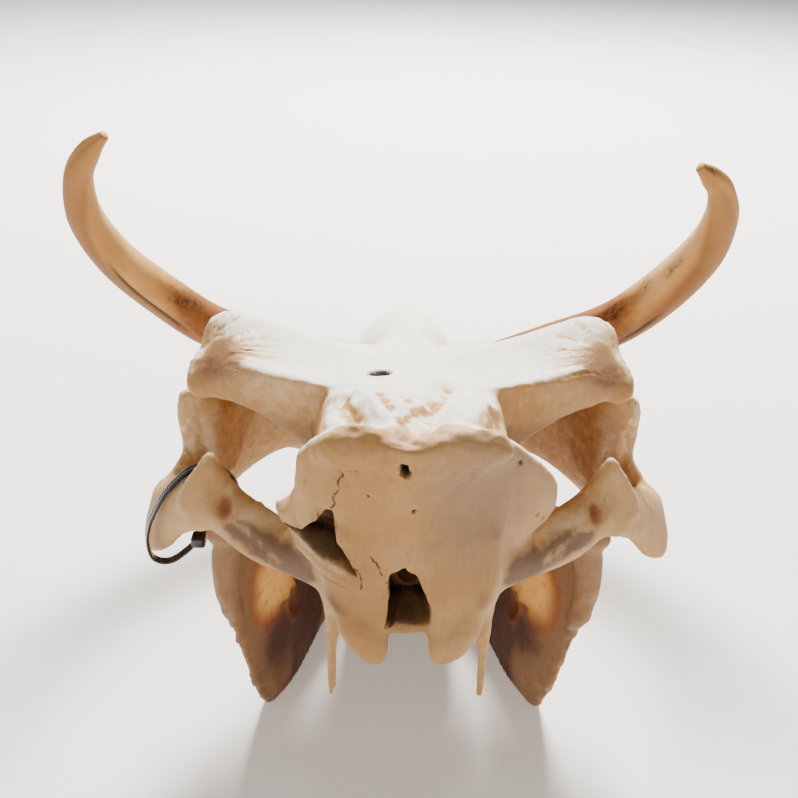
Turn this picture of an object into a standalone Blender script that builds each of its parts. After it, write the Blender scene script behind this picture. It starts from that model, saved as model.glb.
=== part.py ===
# Warthog skull with its lower jaw, life size, resting on the jaw's lower border.
#
# Lengths are written in millimetres and turned to metres by MM. While the pieces are made, the
# origin is the middle of the foramen magnum, the opening at the back of the braincase: +X is the
# skull's right, +Y runs forward to the snout and +Z is up. At the end everything is moved so that
# the floor is at z = 0 and the middle of the skull's length and width is at x = y = 0.
# A station is one named cross-section, and a smooth curve is drawn through the stations.

import math
from collections import namedtuple

import bmesh
import bpy
import numpy as np
from mathutils import Vector

MM = 0.001

# Driving dimensions
FORAMEN_HEIGHT = 136.0          # middle of the foramen magnum above the floor
NODE_GAP = 0.3                  # gap between two nodes that touch in the real skull
TOOTH_LINE = -82.0              # height of the plane where upper and lower cheek teeth meet
JOINT_GAP = 1.1                 # dry joint: cartilage is gone, so the jaw sits a little below its socket
CRANIUM_VOXEL = 1.7             # grid that blends the cranium's pieces into one bone
JAW_VOXEL = 1.6
CRANIUM_FACES = 6600            # triangles kept in the cranium
JAW_FACES = 2700
BLEND_STEPS = 7                 # smoothing passes over the joins
RING_POINTS = 28
TUSK_POINTS = 12

# Cross-sections that are symmetric about the skull's midline, front to back along Y
Block = namedtuple("Block", "y half_width top bottom taper")
# Cross-sections stacked along Z: a plate whose rear face is at rear_y, swept forward at its sides
Shield = namedtuple("Shield", "z half_width rear_y depth sweep")
# Cross-sections of a limb along a curved path; side is across the path, rise is towards +Z
Limb = namedtuple("Limb", "x y z side rise")
# Cross-sections of the brow: a broad roof that dips at the midline and rises to the orbit rims,
# edge deep at its rims and edge + core deep at the midline. Its outer ends round off by fall.
Brow = namedtuple("Brow", "y rim_x mid_z rim_z edge core fall")
# Cross-sections of a jaw plate, stacked along Z
Plate = namedtuple("Plate", "z rear_y front_y thickness")
# An ellipsoid that is cut out or added, on both sides of the skull where paired is true
Oval = namedtuple("Oval", "name centre radii paired")

BRAINCASE = [
    Block(-8, 33, 79, -5, 0.0),
    Block(14, 38, 82, -23, 0.0),
    Block(40, 39, 76, -32, 0.0),
    Block(66, 42, 68, -42, 0.0),
    Block(95, 44, 58, -50, 0.0),
    Block(125, 46, 50, -62, 0.0),
]

ROSTRUM = [
    Block(104, 44, 54, -60, 0.10),
    Block(135, 50, 45, -71, 0.20),
    Block(165, 46, 35, -74, 0.32),
    Block(195, 38, 24, -75, 0.38),
    Block(230, 32, 13, -75, 0.42),
    Block(262, 34, 4, -76, 0.45),
    Block(292, 40, -6, -77, 0.50),
    Block(320, 39, -14, -78, 0.52),
    Block(344, 33, -22, -78, 0.48),
    Block(357, 28, -35, -78, 0.30),
    Block(367, 22, -54, -78, 0.10),
    Block(374, 15, -65, -76, 0.0),
]

BASE_OF_SKULL = [
    Block(3, 11, -8, -16, 0.0),
    Block(25, 14, -12, -36, 0.0),
    Block(60, 13, -14, -46, 0.0),
    Block(95, 16, -20, -58, 0.0),
    Block(118, 22, -30, -72, 0.0),
]

OCCIPUT = [
    Shield(-22, 20, 6, 18, 2),
    Shield(-8, 29, 2, 22, 4),
    Shield(6, 37, -1, 22, 9),
    Shield(20, 46, -4, 20, 14),
    Shield(32, 56, -7, 19, 18),
    Shield(45, 57, -10, 18, 19),
    Shield(57, 51, -13, 17, 17),
    Shield(68, 42, -16, 17, 12),
    Shield(77, 34, -18, 17, 8),
    Shield(84, 23, -20, 15, 5),
]

BROW = [
    Brow(56, 40, 66, 68, 14, 40, 0),
    Brow(62, 60, 62, 70, 18, 60, 2),
    Brow(69, 80, 61, 72, 20, 74, 9),
    Brow(78, 92, 60, 75, 20, 74, 22),
    Brow(90, 95, 57, 81, 17, 54, 21),
    Brow(102, 93, 54, 86, 13, 46, 13),
    Brow(112, 89, 51, 80, 12, 43, 9),
    Brow(123, 82, 48, 67, 11, 40, 5),
    Brow(134, 74, 45, 57, 10, 36, 2),
    Brow(147, 62, 40, 46, 10, 26, 0),
    Brow(163, 48, 35, 35, 10, 16, 0),
]
BROW_RISE_POWER = 1.3           # how the roof climbs from the midline to its rims
BROW_FALL_START = 0.8           # share of the half width where the outer ends start to round off
BROW_RIM_DEPTH = 7.0            # least depth of the roof at its outer ends
BROW_POWER = 1.8                # how quickly the brow deepens from its rims to the midline

# One side's forms, built again on the other side with x turned round
POSTORBITAL_PROCESS = [
    Limb(86, 90, 66, 8, 8),
    Limb(91, 83, 59, 7.5, 7.5),
    Limb(92.5, 77, 51, 5.5, 5),
]

ORBIT_FRONT_RIM = [
    Limb(50, 137, 38, 12, 14),
    Limb(66, 135, 32, 11, 14),
    Limb(82, 130, 18, 9, 14),
    Limb(92, 122, 4, 7, 14),
]

SQUAMOSAL_BAR = [
    Limb(32, 12, 14, 12, 14),
    Limb(44, 18, 11, 11, 9),
    Limb(54, 25, 10, 10.5, 10),
    Limb(66, 35, 9.5, 10, 12),
    Limb(78, 43, 13.5, 9.5, 11),
    Limb(92, 51, 10.5, 9, 10),
]

SQUAMOSAL_PEAK = [
    Limb(84, 47, 12, 17, 8),
    Limb(84.5, 47, 22, 12.5, 6),
    Limb(83.5, 46, 31, 7.5, 5),
    Limb(83, 45, 37, 4.5, 4),
    Limb(82.7, 45, 41, 2.6, 2.8),
]

ZYGOMATIC_ARCH = [
    Limb(84, 46, 13, 9, 10),
    Limb(94, 54, 8, 8.5, 11),
    Limb(103, 64, -1, 8, 12),
    Limb(110.5, 73, -9.5, 8, 15),
    Limb(115.5, 82, -18, 8, 17.5),
    Limb(110, 93, -16, 7.5, 19),
    Limb(102, 103, -9, 6.5, 26),
    Limb(93, 116, -4, 6, 33),
    Limb(79, 136, -1, 7, 30),
    Limb(59, 155, -6, 10, 19),
    Limb(37, 172, -20, 14, 24),
]
ARCH_LEAN = 0.3                 # the arch's top leans in and its lower edge out, by this share of its depth

JUGAL_PROCESS = [
    Limb(101, 102, 4, 6, 10),
    Limb(97.5, 97, 20, 10, 9),
    Limb(94.5, 91, 36, 12, 7),
    Limb(93.5, 88, 47, 10, 5),
]

CANINE_FLARE = [
    Limb(20, 276, -45, 26, 26),
    Limb(42, 289, -45, 23, 24),
    Limb(56, 295, -41, 19.5, 19.5),
    Limb(63, 298, -39, 18, 18),
]

OCCIPITAL_CONDYLE = [
    Limb(24, 2, 8, 5, 6),
    Limb(20, -3, -6, 9, 9),
    Limb(15.5, -3, -18, 8, 8),
    Limb(12.5, -1, -28, 4, 4.5),
]

PAROCCIPITAL = [
    Limb(32, 10, 14, 8, 9),
    Limb(30.5, 11, -6, 5, 6),
    Limb(31.5, 13, -28, 3.3, 4.0),
    Limb(32.3, 16, -48, 2.7, 3.2),
    Limb(32.8, 18, -68, 2.4, 2.8),
]

PTERYGOID_PLATE = [Limb(15, 72, -36, 6, 16), Limb(20, 94, -52, 5, 16), Limb(24, 112, -64, 6, 14)]
UPPER_INCISOR = [Limb(7, 360, -68, 4, 5), Limb(7, 370, -78, 3.8, 4.4), Limb(6, 374, -86, 2.6, 2.8)]

UPPER_TUSK_LEFT = [
    Limb(42, 289, -47, 13.2, 13.2),
    Limb(64, 297, -40, 13.6, 13.6),
    Limb(96, 297, -28, 14.0, 14.0),
    Limb(128, 286, -12, 14.2, 14.2),
    Limb(155, 275, 14, 13.7, 13.7),
    Limb(177, 264, 41, 12.5, 12.5),
    Limb(189, 253, 71, 10.8, 10.8),
    Limb(188, 245, 97, 8.4, 8.4),
    Limb(178, 239, 114, 6.5, 6.5),
    Limb(167, 235, 124, 2.8, 2.8),
]

UPPER_TUSK_RIGHT = [
    Limb(42, 289, -47, 13.2, 13.2),
    Limb(64, 297, -40, 13.6, 13.6),
    Limb(98, 296, -26, 14.2, 14.2),
    Limb(136, 286, -6, 14.9, 14.9),
    Limb(163, 277, 21, 14.8, 14.8),
    Limb(181, 265, 52, 13.2, 13.2),
    Limb(185, 256, 76, 10.4, 10.4),
    Limb(180, 250, 95, 7.8, 7.8),
    Limb(172, 247, 104, 6.2, 6.2),
    Limb(164, 245, 110, 3.0, 3.0),
]

LOWER_TUSK = [
    Limb(24, 312, -107, 7.0, 7.0),
    Limb(31, 319, -93, 7.8, 7.8),
    Limb(42, 323, -76, 7.2, 7.2),
    Limb(57, 322, -63, 5.8, 5.8),
    Limb(71, 318, -54, 3.2, 3.2),
    Limb(76, 316, -51, 1.4, 1.4),
]

JAW_BODY = [
    Limb(56, 124, -113, 7.5, 24.5),
    Limb(46, 160, -113, 10, 24),
    Limb(37, 200, -114, 11, 23),
    Limb(30, 235, -115, 12, 22),
    Limb(22, 268, -115, 12, 21),
    Limb(14, 300, -111, 12, 18),
]

JAW_SYMPHYSIS = [
    Block(236, 27, -105, -137, 0.0),
    Block(262, 29, -100, -137.5, 0.0),
    Block(294, 31, -95, -133, 0.0),
    Block(322, 35, -90, -121, 0.0),
    Block(342, 31, -87, -108, 0.0),
    Block(354, 23, -86, -98, 0.0),
]

JAW_RAMUS = [
    Plate(-3, 46, 60, 7),
    Plate(-20, 45, 86, 6.5),
    Plate(-40, 47, 94, 6),
    Plate(-60, 51, 104, 6),
    Plate(-80, 57, 120, 7),
    Plate(-100, 63, 150, 9),
    Plate(-120, 69, 162, 11),
    Plate(-138, 77, 150, 10),
]
# Plan of the two jaw plates, which spread towards the back
RAMUS_PLAN_Y = (44, 54, 66, 80, 100, 125, 165)
RAMUS_PLAN_X = (84, 80, 76, 70, 62, 55, 44)

CORONOID = [Limb(70, 88, -34, 4.5, 12), Limb(70, 84, -20, 4, 9), Limb(71, 81, -11, 3, 6)]
JAW_CONDYLE = [Limb(64, 46, -3, 5, 4), Limb(76, 47, -1, 7, 5), Limb(88, 49, -2.5, 5, 4)]
JAW_NECK = [
    Limb(77, 52, -58, 3, 4.5),
    Limb(80.5, 49, -44, 5, 5),
    Limb(81.5, 48, -31, 6, 5.5),
    Limb(80.5, 48, -18, 7, 5.5),
    Limb(78.5, 48, -9, 7.5, 5),
    Limb(77, 48, -3, 8.5, 5),
]
LOWER_INCISOR_COUNT = 3         # on each side
LOWER_INCISOR_FIRST = 4.5       # the first one's distance from the midline
LOWER_INCISOR_PITCH = 8.5

BULLA = Oval("bulla", (25, 38, -30), (9, 13, 12), True)
# The nuchal crest rises in a bump on each side of a notch at the midline
CREST_BUMP = Oval("crest_bump", (20, -13, 80), (15, 7, 9), True)
CRANIUM_HOLLOWS = [
    Oval("foramen_magnum", (0, 0, 5.5), (9.5, 34, 18), False),
    Oval("nasal_opening", (0, 370, -47), (18, 28, 13), False),
    Oval("palate", (0, 235, -82), (19, 130, 14), False),
    Oval("braincase_break", (-28, -4, 33), (6, 16, 10), False),
    Oval("broken_wing", (-68, 8, 72), (26, 34, 46), False),
    Oval("broken_corner", (-64, 8, 27), (12, 16, 12), False),
    Oval("ear", (77, 32, 21.5), (4.4, 10, 6), True),
    Oval("infraorbital", (43, 190, -22), (9, 16, 7), True),
    Oval("face_hollow", (62, 205, 2), (27, 46, 20), True),
]
JAW_HOLLOWS = [Oval("tongue_hollow", (0, 318, -82), (20, 42, 14), False)]
FLOOR_CUT_SIZE = (400, 600, 100)  # the block whose top is the floor, cut from the jaw's lower border

# Route of the black tie round the left arch, through the temporal opening and back underneath
TIE_ROUTE = [
    (-77, 70, 5.5),
    (-82, 69.5, 15.5),
    (-89, 67.5, 19.5),
    (-96.5, 64.5, 19),
    (-103, 62.5, 14),
    (-108.5, 61, 7.5),
    (-112.5, 60.3, 0.5),
    (-116.2, 60, -8),
    (-118, 60, -18),
    (-116, 60.8, -27),
    (-108, 62.5, -29),
    (-96, 66, -20),
    (-84, 69, -8),
]
TIE_HALF_WIDTH = 2.1
TIE_HALF_THICKNESS = 0.8
TIE_LOCK_AT = 11                # the route point that carries the lock
TIE_LOCK_SIZE = (6.5, 7.5, 5.5)

# Cheek teeth: the long last molar and the one before it, as a row of worn columns
UPPER_ROW = dict(first_y=116, last_y=192, x_rear=27, x_front=25, root=-62, crown=TOOTH_LINE + NODE_GAP)
LOWER_ROW = dict(first_y=116, last_y=192, x_rear=29, x_front=26, root=-100, crown=TOOTH_LINE - NODE_GAP)
TOOTH_COLUMNS = 8
TOOTH_HALF_WIDTH = 7.2
TOOTH_HALF_LENGTH = 6.4         # of one column
TOOTH_END_SHARE = 0.85          # width of the row's ends as a share of its middle
TOOTH_POINTS = 12

BONE = (0.78, 0.66, 0.52)
JAW_BONE = (0.58, 0.42, 0.27)
IVORY = (0.72, 0.54, 0.33)
TOOTH = (0.74, 0.64, 0.48)
BLACK = (0.02, 0.02, 0.022)

# Curves and sections

def smooth_rows(stations, per_span):
    """Rows on a smooth curve through the stations, with per_span rows for each gap."""
    rows = np.array(stations, dtype=float)
    slope = np.gradient(rows, axis=0)
    out = []
    for i in range(len(rows) - 1):
        for t in np.arange(per_span) / per_span:
            a = 2 * t**3 - 3 * t**2 + 1
            b = t**3 - 2 * t**2 + t
            c = -2 * t**3 + 3 * t**2
            d = t**3 - t**2
            out.append(a * rows[i] + b * slope[i] + c * rows[i + 1] + d * slope[i + 1])
    out.append(rows[-1])
    return np.array(out)


def oval(count, power):
    """Unit ring of a superellipse: power 2 is round, larger is boxier."""
    angle = 2 * math.pi * np.arange(count) / count
    c, s = np.cos(angle), np.sin(angle)
    return np.sign(c) * np.abs(c) ** (2 / power), np.sign(s) * np.abs(s) ** (2 / power)


def new_object(name, mesh):
    """Object in the scene from a bmesh, which is freed."""
    bmesh.ops.recalc_face_normals(mesh, faces=mesh.faces)
    data = bpy.data.meshes.new(name)
    mesh.to_mesh(data)
    mesh.free()
    obj = bpy.data.objects.new(name, data)
    bpy.context.scene.collection.objects.link(obj)
    return obj


def skin(name, rings, closed=False):
    """Closed mesh object through rings of the same number of points.

    Both ends are capped, or with closed=True the last ring joins the first.
    """
    mesh = bmesh.new()
    loops = [[mesh.verts.new(Vector(point) * MM) for point in ring] for ring in rings]
    count = len(loops[0])
    following = loops[1:] + loops[:1] if closed else loops[1:]
    for near, far in zip(loops, following):
        for i in range(count):
            j = (i + 1) % count
            mesh.faces.new((near[i], near[j], far[j], far[i]))
    if not closed:
        for loop in (loops[0], loops[-1]):
            centre = mesh.verts.new(sum((v.co for v in loop), Vector()) / count)
            for i in range(count):
                mesh.faces.new((loop[i], loop[(i + 1) % count], centre))
    return new_object(name, mesh)

def block(name, stations, power=2.8):
    """A symmetric piece with its sections across Y. Taper narrows the upper half."""
    ring_x, ring_z = oval(RING_POINTS * 2, power)
    rings = []
    for y, half_width, top, bottom, taper in smooth_rows(stations, 5):
        x = half_width * ring_x * (1 - taper * np.clip(ring_z, 0, 1) ** 1.5)
        z = (top + bottom) / 2 + (top - bottom) / 2 * ring_z
        rings.append([(px, y, pz) for px, pz in zip(x, z)])
    return skin(name, rings)


def shield(name, stations):
    """The upright occipital plate, with sections across Z and its wings swept forward."""
    ring_x, ring_y = oval(RING_POINTS * 2, 2.6)
    rings = []
    for z, half_width, rear_y, depth, sweep in smooth_rows(stations, 5):
        x = half_width * ring_x
        y = rear_y + depth / 2 * (1 + ring_y) + sweep * ring_x**2
        rings.append([(px, py, z) for px, py in zip(x, y)])
    return skin(name, rings)


def lengthened(path, reach):
    """The path with its two end points pushed outwards along it."""
    path = path.copy()
    for end, inner in ((0, 1), (-1, -2)):
        outward = path[end] - path[inner]
        path[end] += outward / np.linalg.norm(outward) * reach
    return path


def limb(name, stations, side_sign=1, power=2.2, upright=False, lean=0.0, grow=0.0):
    """A bar along a curved path. side_sign -1 builds it on the left side of the skull.

    upright keeps the sections level, for a process that rises or hangs: side is then its
    half width along X and rise its half depth along Y. lean tips the sections' tops inwards,
    and grow makes the bar larger all round.
    """
    rows = smooth_rows(stations, 6)
    path = lengthened(rows[:, :3] * (side_sign, 1, 1), grow)
    along = np.gradient(path, axis=0)
    ring_u, ring_v = oval(RING_POINTS, power)
    rings = []
    for centre, direction, (side, rise) in zip(path, along, rows[:, 3:] + grow):
        direction = direction / np.linalg.norm(direction)
        if upright:
            across, up = np.array((1.0, 0.0, 0.0)), np.array((0.0, 1.0, 0.0))
        else:
            across = np.cross(direction, (0.0, 0.0, 1.0))
            across = across / np.linalg.norm(across)
            up = np.cross(across, direction) - across * side_sign * lean
        rings.append([centre + across * side * u + up * rise * v for u, v in zip(ring_u, ring_v)])
    return skin(name, rings)


def tube(name, stations, side_sign=1, grow=0.0):
    """A round limb whose sections turn with the path without twisting, for a tusk."""
    rows = smooth_rows(stations, 4)
    path = lengthened(rows[:, :3] * (side_sign, 1, 1), grow)
    along = np.gradient(path, axis=0)
    ring_u, ring_v = oval(TUSK_POINTS, 2)
    across = np.array((0.0, 1.0, 0.0))
    rings = []
    for centre, direction, radius in zip(path, along, rows[:, 3] + grow):
        direction = direction / np.linalg.norm(direction)
        across = across - direction * across.dot(direction)
        across = across / np.linalg.norm(across)
        up = np.cross(direction, across)
        rings.append([centre + (across * u + up * v) * radius for u, v in zip(ring_u, ring_v)])
    return skin(name, rings)

def brow(name, stations):
    """The forehead: a roof concave across the midline, thick inside and thin at the orbit rims."""
    across = np.linspace(-1, 1, 25)
    rings = []
    for y, rim_x, mid_z, rim_z, edge, core, fall in smooth_rows(stations, 4):
        share = np.abs(across)
        roof = mid_z + (rim_z - mid_z) * share**BROW_RISE_POWER
        top = roof - fall * np.clip((share - BROW_FALL_START) / (1 - BROW_FALL_START), 0, 1) ** 2
        under = np.minimum(roof - edge - core * (1 - share) ** BROW_POWER, top - BROW_RIM_DEPTH)
        x = rim_x * across
        upper = [(px, y, pz) for px, pz in zip(x, top)]
        lower = [(px, y, pz) for px, pz in zip(x[::-1], under[::-1])]
        rings.append(upper + lower)
    return skin(name, rings)


def ramus(name, stations, side_sign):
    """A jaw plate, bent along its plan line, with level sections stacked along Z."""
    ring_u, ring_v = oval(RING_POINTS, 2.8)
    rings = []
    for z, rear_y, front_y, thickness in smooth_rows(stations, 5):
        y = (rear_y + front_y) / 2 + (front_y - rear_y) / 2 * ring_u
        x = np.interp(y, RAMUS_PLAN_Y, RAMUS_PLAN_X) + thickness / 2 * ring_v
        rings.append([(side_sign * px, py, z) for px, py in zip(x, y)])
    return skin(name, rings)


def ellipsoid(name, centre, radii):
    """A closed oval body."""
    mesh = bmesh.new()
    bmesh.ops.create_uvsphere(mesh, u_segments=24, v_segments=14, radius=1.0)
    for vert in mesh.verts:
        vert.co = Vector([c + r * k for c, r, k in zip(centre, radii, vert.co)]) * MM
    return new_object(name, mesh)


def ovals(table):
    """The ellipsoids of a table, the paired ones on both sides."""
    bodies = []
    for name, (x, y, z), radii, paired in table:
        for sign in (1, -1) if paired else (1,):
            bodies.append(ellipsoid(name, (sign * x, y, z), radii))
    return bodies


def cuboid(name, centre, size):
    """A closed box."""
    mesh = bmesh.new()
    bmesh.ops.create_cube(mesh, size=1.0)
    for vert in mesh.verts:
        vert.co = Vector([c + s * k for c, s, k in zip(centre, size, vert.co)]) * MM
    return new_object(name, mesh)

# Joining, cutting and blending

def apply_modifiers(obj):
    """Replaces the object's mesh by its evaluated one."""
    graph = bpy.context.evaluated_depsgraph_get()
    data = bpy.data.meshes.new_from_object(obj.evaluated_get(graph))
    obj.modifiers.clear()
    obj.data = data


def boolean(target, pieces, operation):
    """Joins the pieces to the target, or cuts them from it, and removes them."""
    group = bpy.data.collections.new("pieces")
    bpy.context.scene.collection.children.link(group)
    for piece in pieces:
        group.objects.link(piece)
    modifier = target.modifiers.new(operation.lower(), "BOOLEAN")
    modifier.operation = operation
    modifier.solver = "EXACT"
    modifier.operand_type = "COLLECTION"
    modifier.collection = group
    apply_modifiers(target)
    for piece in pieces:
        bpy.data.objects.remove(piece)
    bpy.data.collections.remove(group)


def largest_surface(obj):
    """Keeps only the largest closed surface of the object's mesh."""
    mesh = bmesh.new()
    mesh.from_mesh(obj.data)
    left = set(mesh.verts)
    shells = []
    while left:
        stack = [left.pop()]
        shell = set(stack)
        while stack:
            for edge in stack.pop().link_edges:
                for vert in edge.verts:
                    if vert in left:
                        left.remove(vert)
                        shell.add(vert)
                        stack.append(vert)
        shells.append(shell)
    shells.sort(key=len)
    for shell in shells[:-1]:
        bmesh.ops.delete(mesh, geom=list(shell), context="VERTS")
    mesh.to_mesh(obj.data)
    mesh.free()


def blend(obj, voxel, faces):
    """Melts the joined pieces into one smooth bone and thins its triangles out."""
    remesh = obj.modifiers.new("remesh", "REMESH")
    remesh.mode = "VOXEL"
    remesh.voxel_size = voxel * MM
    smooth = obj.modifiers.new("smooth", "SMOOTH")
    smooth.factor = 0.5
    smooth.iterations = BLEND_STEPS
    apply_modifiers(obj)
    largest_surface(obj)
    triangles = sum(len(polygon.vertices) - 2 for polygon in obj.data.polygons)
    thin = obj.modifiers.new("thin", "DECIMATE")
    thin.ratio = min(1.0, faces / triangles)
    thin.use_collapse_triangulate = True
    apply_modifiers(obj)


def finish(obj, colour, roughness):
    """Names the node's material and shades it smooth."""
    material = bpy.data.materials.new(obj.name)
    material.use_nodes = True
    shader = material.node_tree.nodes["Principled BSDF"]
    shader.inputs["Base Color"].default_value = (*colour, 1.0)
    shader.inputs["Roughness"].default_value = roughness
    shader.inputs["Metallic"].default_value = 0.0
    obj.data.materials.clear()
    obj.data.materials.append(material)
    obj.data.shade_smooth()
    obj.data.set_sharp_from_angle(angle=math.radians(50))
    return obj


# The sub-parts

def make_cranium():
    """The upper skull: braincase, occiput, brow, arches, snout and their processes."""
    pieces = [
        shield("occiput", OCCIPUT),
        block("rostrum", ROSTRUM),
        block("base", BASE_OF_SKULL, 2.2),
        brow("brow", BROW),
    ]
    for sign in (1, -1):
        pieces += [
            limb("postorbital", POSTORBITAL_PROCESS, sign, upright=True),
            limb("orbit_front", ORBIT_FRONT_RIM, sign),
            limb("squamosal", SQUAMOSAL_BAR, sign),
            limb("peak", SQUAMOSAL_PEAK, sign, upright=True),
            limb("arch", ZYGOMATIC_ARCH, sign, lean=ARCH_LEAN),
            limb("jugal", JUGAL_PROCESS, sign, upright=True),
            limb("flare", CANINE_FLARE, sign),
            limb("condyle", OCCIPITAL_CONDYLE, sign, upright=True),
            limb("paroccipital", PAROCCIPITAL, sign, upright=True),
            limb("pterygoid", PTERYGOID_PLATE, sign),
            limb("incisor", UPPER_INCISOR, sign, upright=True),
        ]
    pieces += ovals([BULLA, CREST_BUMP])
    skull = block("cranium", BRAINCASE, 4)
    boolean(skull, pieces, "UNION")
    boolean(skull, ovals(CRANIUM_HOLLOWS), "DIFFERENCE")
    blend(skull, CRANIUM_VOXEL, CRANIUM_FACES)
    return skull


def make_mandible():
    """The lower jaw: two plates with condyles, the body, and the fused front."""
    pieces = []
    for sign in (1, -1):
        pieces += [
            ramus("ramus", JAW_RAMUS, sign),
            limb("body", JAW_BODY, sign, 2.6),
            limb("coronoid", CORONOID, sign, upright=True),
            limb("condyle", JAW_CONDYLE, sign),
            limb("neck", JAW_NECK, sign, upright=True),
        ]
        for i in range(LOWER_INCISOR_COUNT):
            x = LOWER_INCISOR_FIRST + LOWER_INCISOR_PITCH * i
            root = Limb(x, 340 - 2 * i, -97, 4.2, 4.5)
            tip = Limb(x * 1.06, 366 - 3 * i * i, -84, 3.4, 2.6)
            pieces.append(limb("incisor", [root, tip], sign))
    jaw = block("mandible", JAW_SYMPHYSIS)
    boolean(jaw, pieces, "UNION")
    boolean(jaw, ovals(JAW_HOLLOWS), "DIFFERENCE")
    blend(jaw, JAW_VOXEL, JAW_FACES)
    floor = cuboid("floor", (0, 200, -FORAMEN_HEIGHT - FLOOR_CUT_SIZE[2] / 2), FLOOR_CUT_SIZE)
    boolean(jaw, [floor], "DIFFERENCE")
    return jaw


def tooth_row(name, row, sign, grow=0.0):
    """One cheek-tooth row: overlapping upright columns, so that its sides are lobed."""
    low, high = sorted((row["root"], row["crown"]))
    columns = []
    for i in range(TOOTH_COLUMNS):
        t = i / (TOOTH_COLUMNS - 1)
        x = row["x_rear"] + (row["x_front"] - row["x_rear"]) * t
        y = row["first_y"] + (row["last_y"] - row["first_y"]) * t
        share = TOOTH_END_SHARE + (1 - TOOTH_END_SHARE) * math.sin(math.pi * t)
        wide = TOOTH_HALF_WIDTH * share + grow
        long = TOOTH_HALF_LENGTH + grow
        ring_u, ring_v = oval(TOOTH_POINTS, 2)
        rings = []
        for z in (low - grow, high + grow):
            rings.append([(sign * (x + wide * u), y + long * v, z) for u, v in zip(ring_u, ring_v)])
        columns.append(skin(name, rings))
    first = columns.pop(0)
    boolean(first, columns, "UNION")
    first.name = name
    return first


def cable_tie():
    """A flat black strap closed round the left arch, with its lock under the bone."""
    route = np.array(TIE_ROUTE, dtype=float)
    looped = smooth_rows(np.vstack([route[-2:], route, route[:2]]), 4)[8:-8]
    path = looped[:-1]
    middle = path.mean(axis=0)
    along = np.roll(path, -1, axis=0) - np.roll(path, 1, axis=0)
    rings = []
    for centre, direction in zip(path, along):
        direction = direction / np.linalg.norm(direction)
        outward = centre - middle
        outward = outward - direction * outward.dot(direction)
        outward = outward / np.linalg.norm(outward)
        wide = np.cross(direction, outward) * TIE_HALF_WIDTH
        thick = outward * TIE_HALF_THICKNESS
        rings.append([centre - wide - thick, centre + wide - thick, centre + wide + thick, centre - wide + thick])
    strap = skin("cable_tie", rings, closed=True)
    lock = cuboid("lock", TIE_ROUTE[TIE_LOCK_AT], TIE_LOCK_SIZE)
    boolean(strap, [lock], "UNION")
    return strap

def settle(objects):
    """Moves every mesh so that the floor is z = 0 and the outline's middle is x = y = 0."""
    points = np.array([v.co[:] for obj in objects for v in obj.data.vertices])
    low, high = points.min(axis=0), points.max(axis=0)
    shift = Vector((-(low[0] + high[0]) / 2, -(low[1] + high[1]) / 2, -low[2]))
    for obj in objects:
        for vert in obj.data.vertices:
            vert.co += shift
        obj.data.update()


def main():
    for obj in list(bpy.data.objects):
        bpy.data.objects.remove(obj)
    cranium = make_cranium()
    mandible = make_mandible()
    nodes = [finish(cranium, BONE, 0.7), finish(mandible, JAW_BONE, 0.65)]
    for side, sign, stations in (("left", -1, UPPER_TUSK_LEFT), ("right", 1, UPPER_TUSK_RIGHT)):
        boolean(cranium, [tube("socket", stations, sign, NODE_GAP)], "DIFFERENCE")
        nodes.append(finish(tube("upper_tusk_" + side, stations, sign), IVORY, 0.4))
        boolean(mandible, [tube("socket", LOWER_TUSK, sign, NODE_GAP)], "DIFFERENCE")
        nodes.append(finish(tube("lower_tusk_" + side, LOWER_TUSK, sign), IVORY, 0.4))
        for label, row, bone in (("upper", UPPER_ROW, cranium), ("lower", LOWER_ROW, mandible)):
            boolean(bone, [tooth_row("socket", row, sign, NODE_GAP)], "DIFFERENCE")
            nodes.append(finish(tooth_row(label + "_cheek_teeth_" + side, row, sign), TOOTH, 0.5))
    sockets = [limb("socket", JAW_CONDYLE, sign, grow=JOINT_GAP) for sign in (1, -1)]
    boolean(cranium, sockets, "DIFFERENCE")
    nodes.append(finish(cable_tie(), BLACK, 0.3))
    for bone in (cranium, mandible):
        largest_surface(bone)
    settle(nodes)


main()
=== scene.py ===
"""Weathered warthog skull with its lower jaw, dressed at life size.

The skull rests on the lower border of its jaw and is seen from behind and above. Every length in
the tables is in millimetres from the middle of the foramen magnum, the opening at the back of the
braincase: +X is the skull's right, +Y runs forward to the snout and +Z is up.
"""

import logging
import math
from collections.abc import Iterator
from contextlib import contextmanager
from dataclasses import dataclass, field
from enum import Enum

import bmesh
import bpy
import numpy as np
from bpy.types import ID, Material, Mesh, NodeSocket, Object
from mathutils import Matrix, Vector


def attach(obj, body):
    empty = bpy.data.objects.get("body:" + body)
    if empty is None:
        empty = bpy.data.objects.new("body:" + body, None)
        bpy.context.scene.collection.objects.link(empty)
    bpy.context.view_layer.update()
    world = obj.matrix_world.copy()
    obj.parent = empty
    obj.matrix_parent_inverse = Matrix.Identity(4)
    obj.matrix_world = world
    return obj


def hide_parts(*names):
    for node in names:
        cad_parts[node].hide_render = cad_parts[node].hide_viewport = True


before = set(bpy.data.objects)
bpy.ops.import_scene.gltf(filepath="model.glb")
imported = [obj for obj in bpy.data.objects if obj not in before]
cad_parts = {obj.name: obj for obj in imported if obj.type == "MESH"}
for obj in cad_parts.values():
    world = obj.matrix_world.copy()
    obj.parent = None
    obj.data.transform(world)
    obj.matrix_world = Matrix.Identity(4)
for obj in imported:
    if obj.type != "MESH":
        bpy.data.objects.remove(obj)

LOG = logging.getLogger("skull")
MM = 0.001
FORAMEN = np.array([2.01, -178.0, 136.0])   # the foramen's middle in the world, in millimetres
Array = np.ndarray
Triple = tuple[float, float, float]
Outline = tuple[tuple[float, float], ...]
Key = int | str           # a socket's number or name

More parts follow.
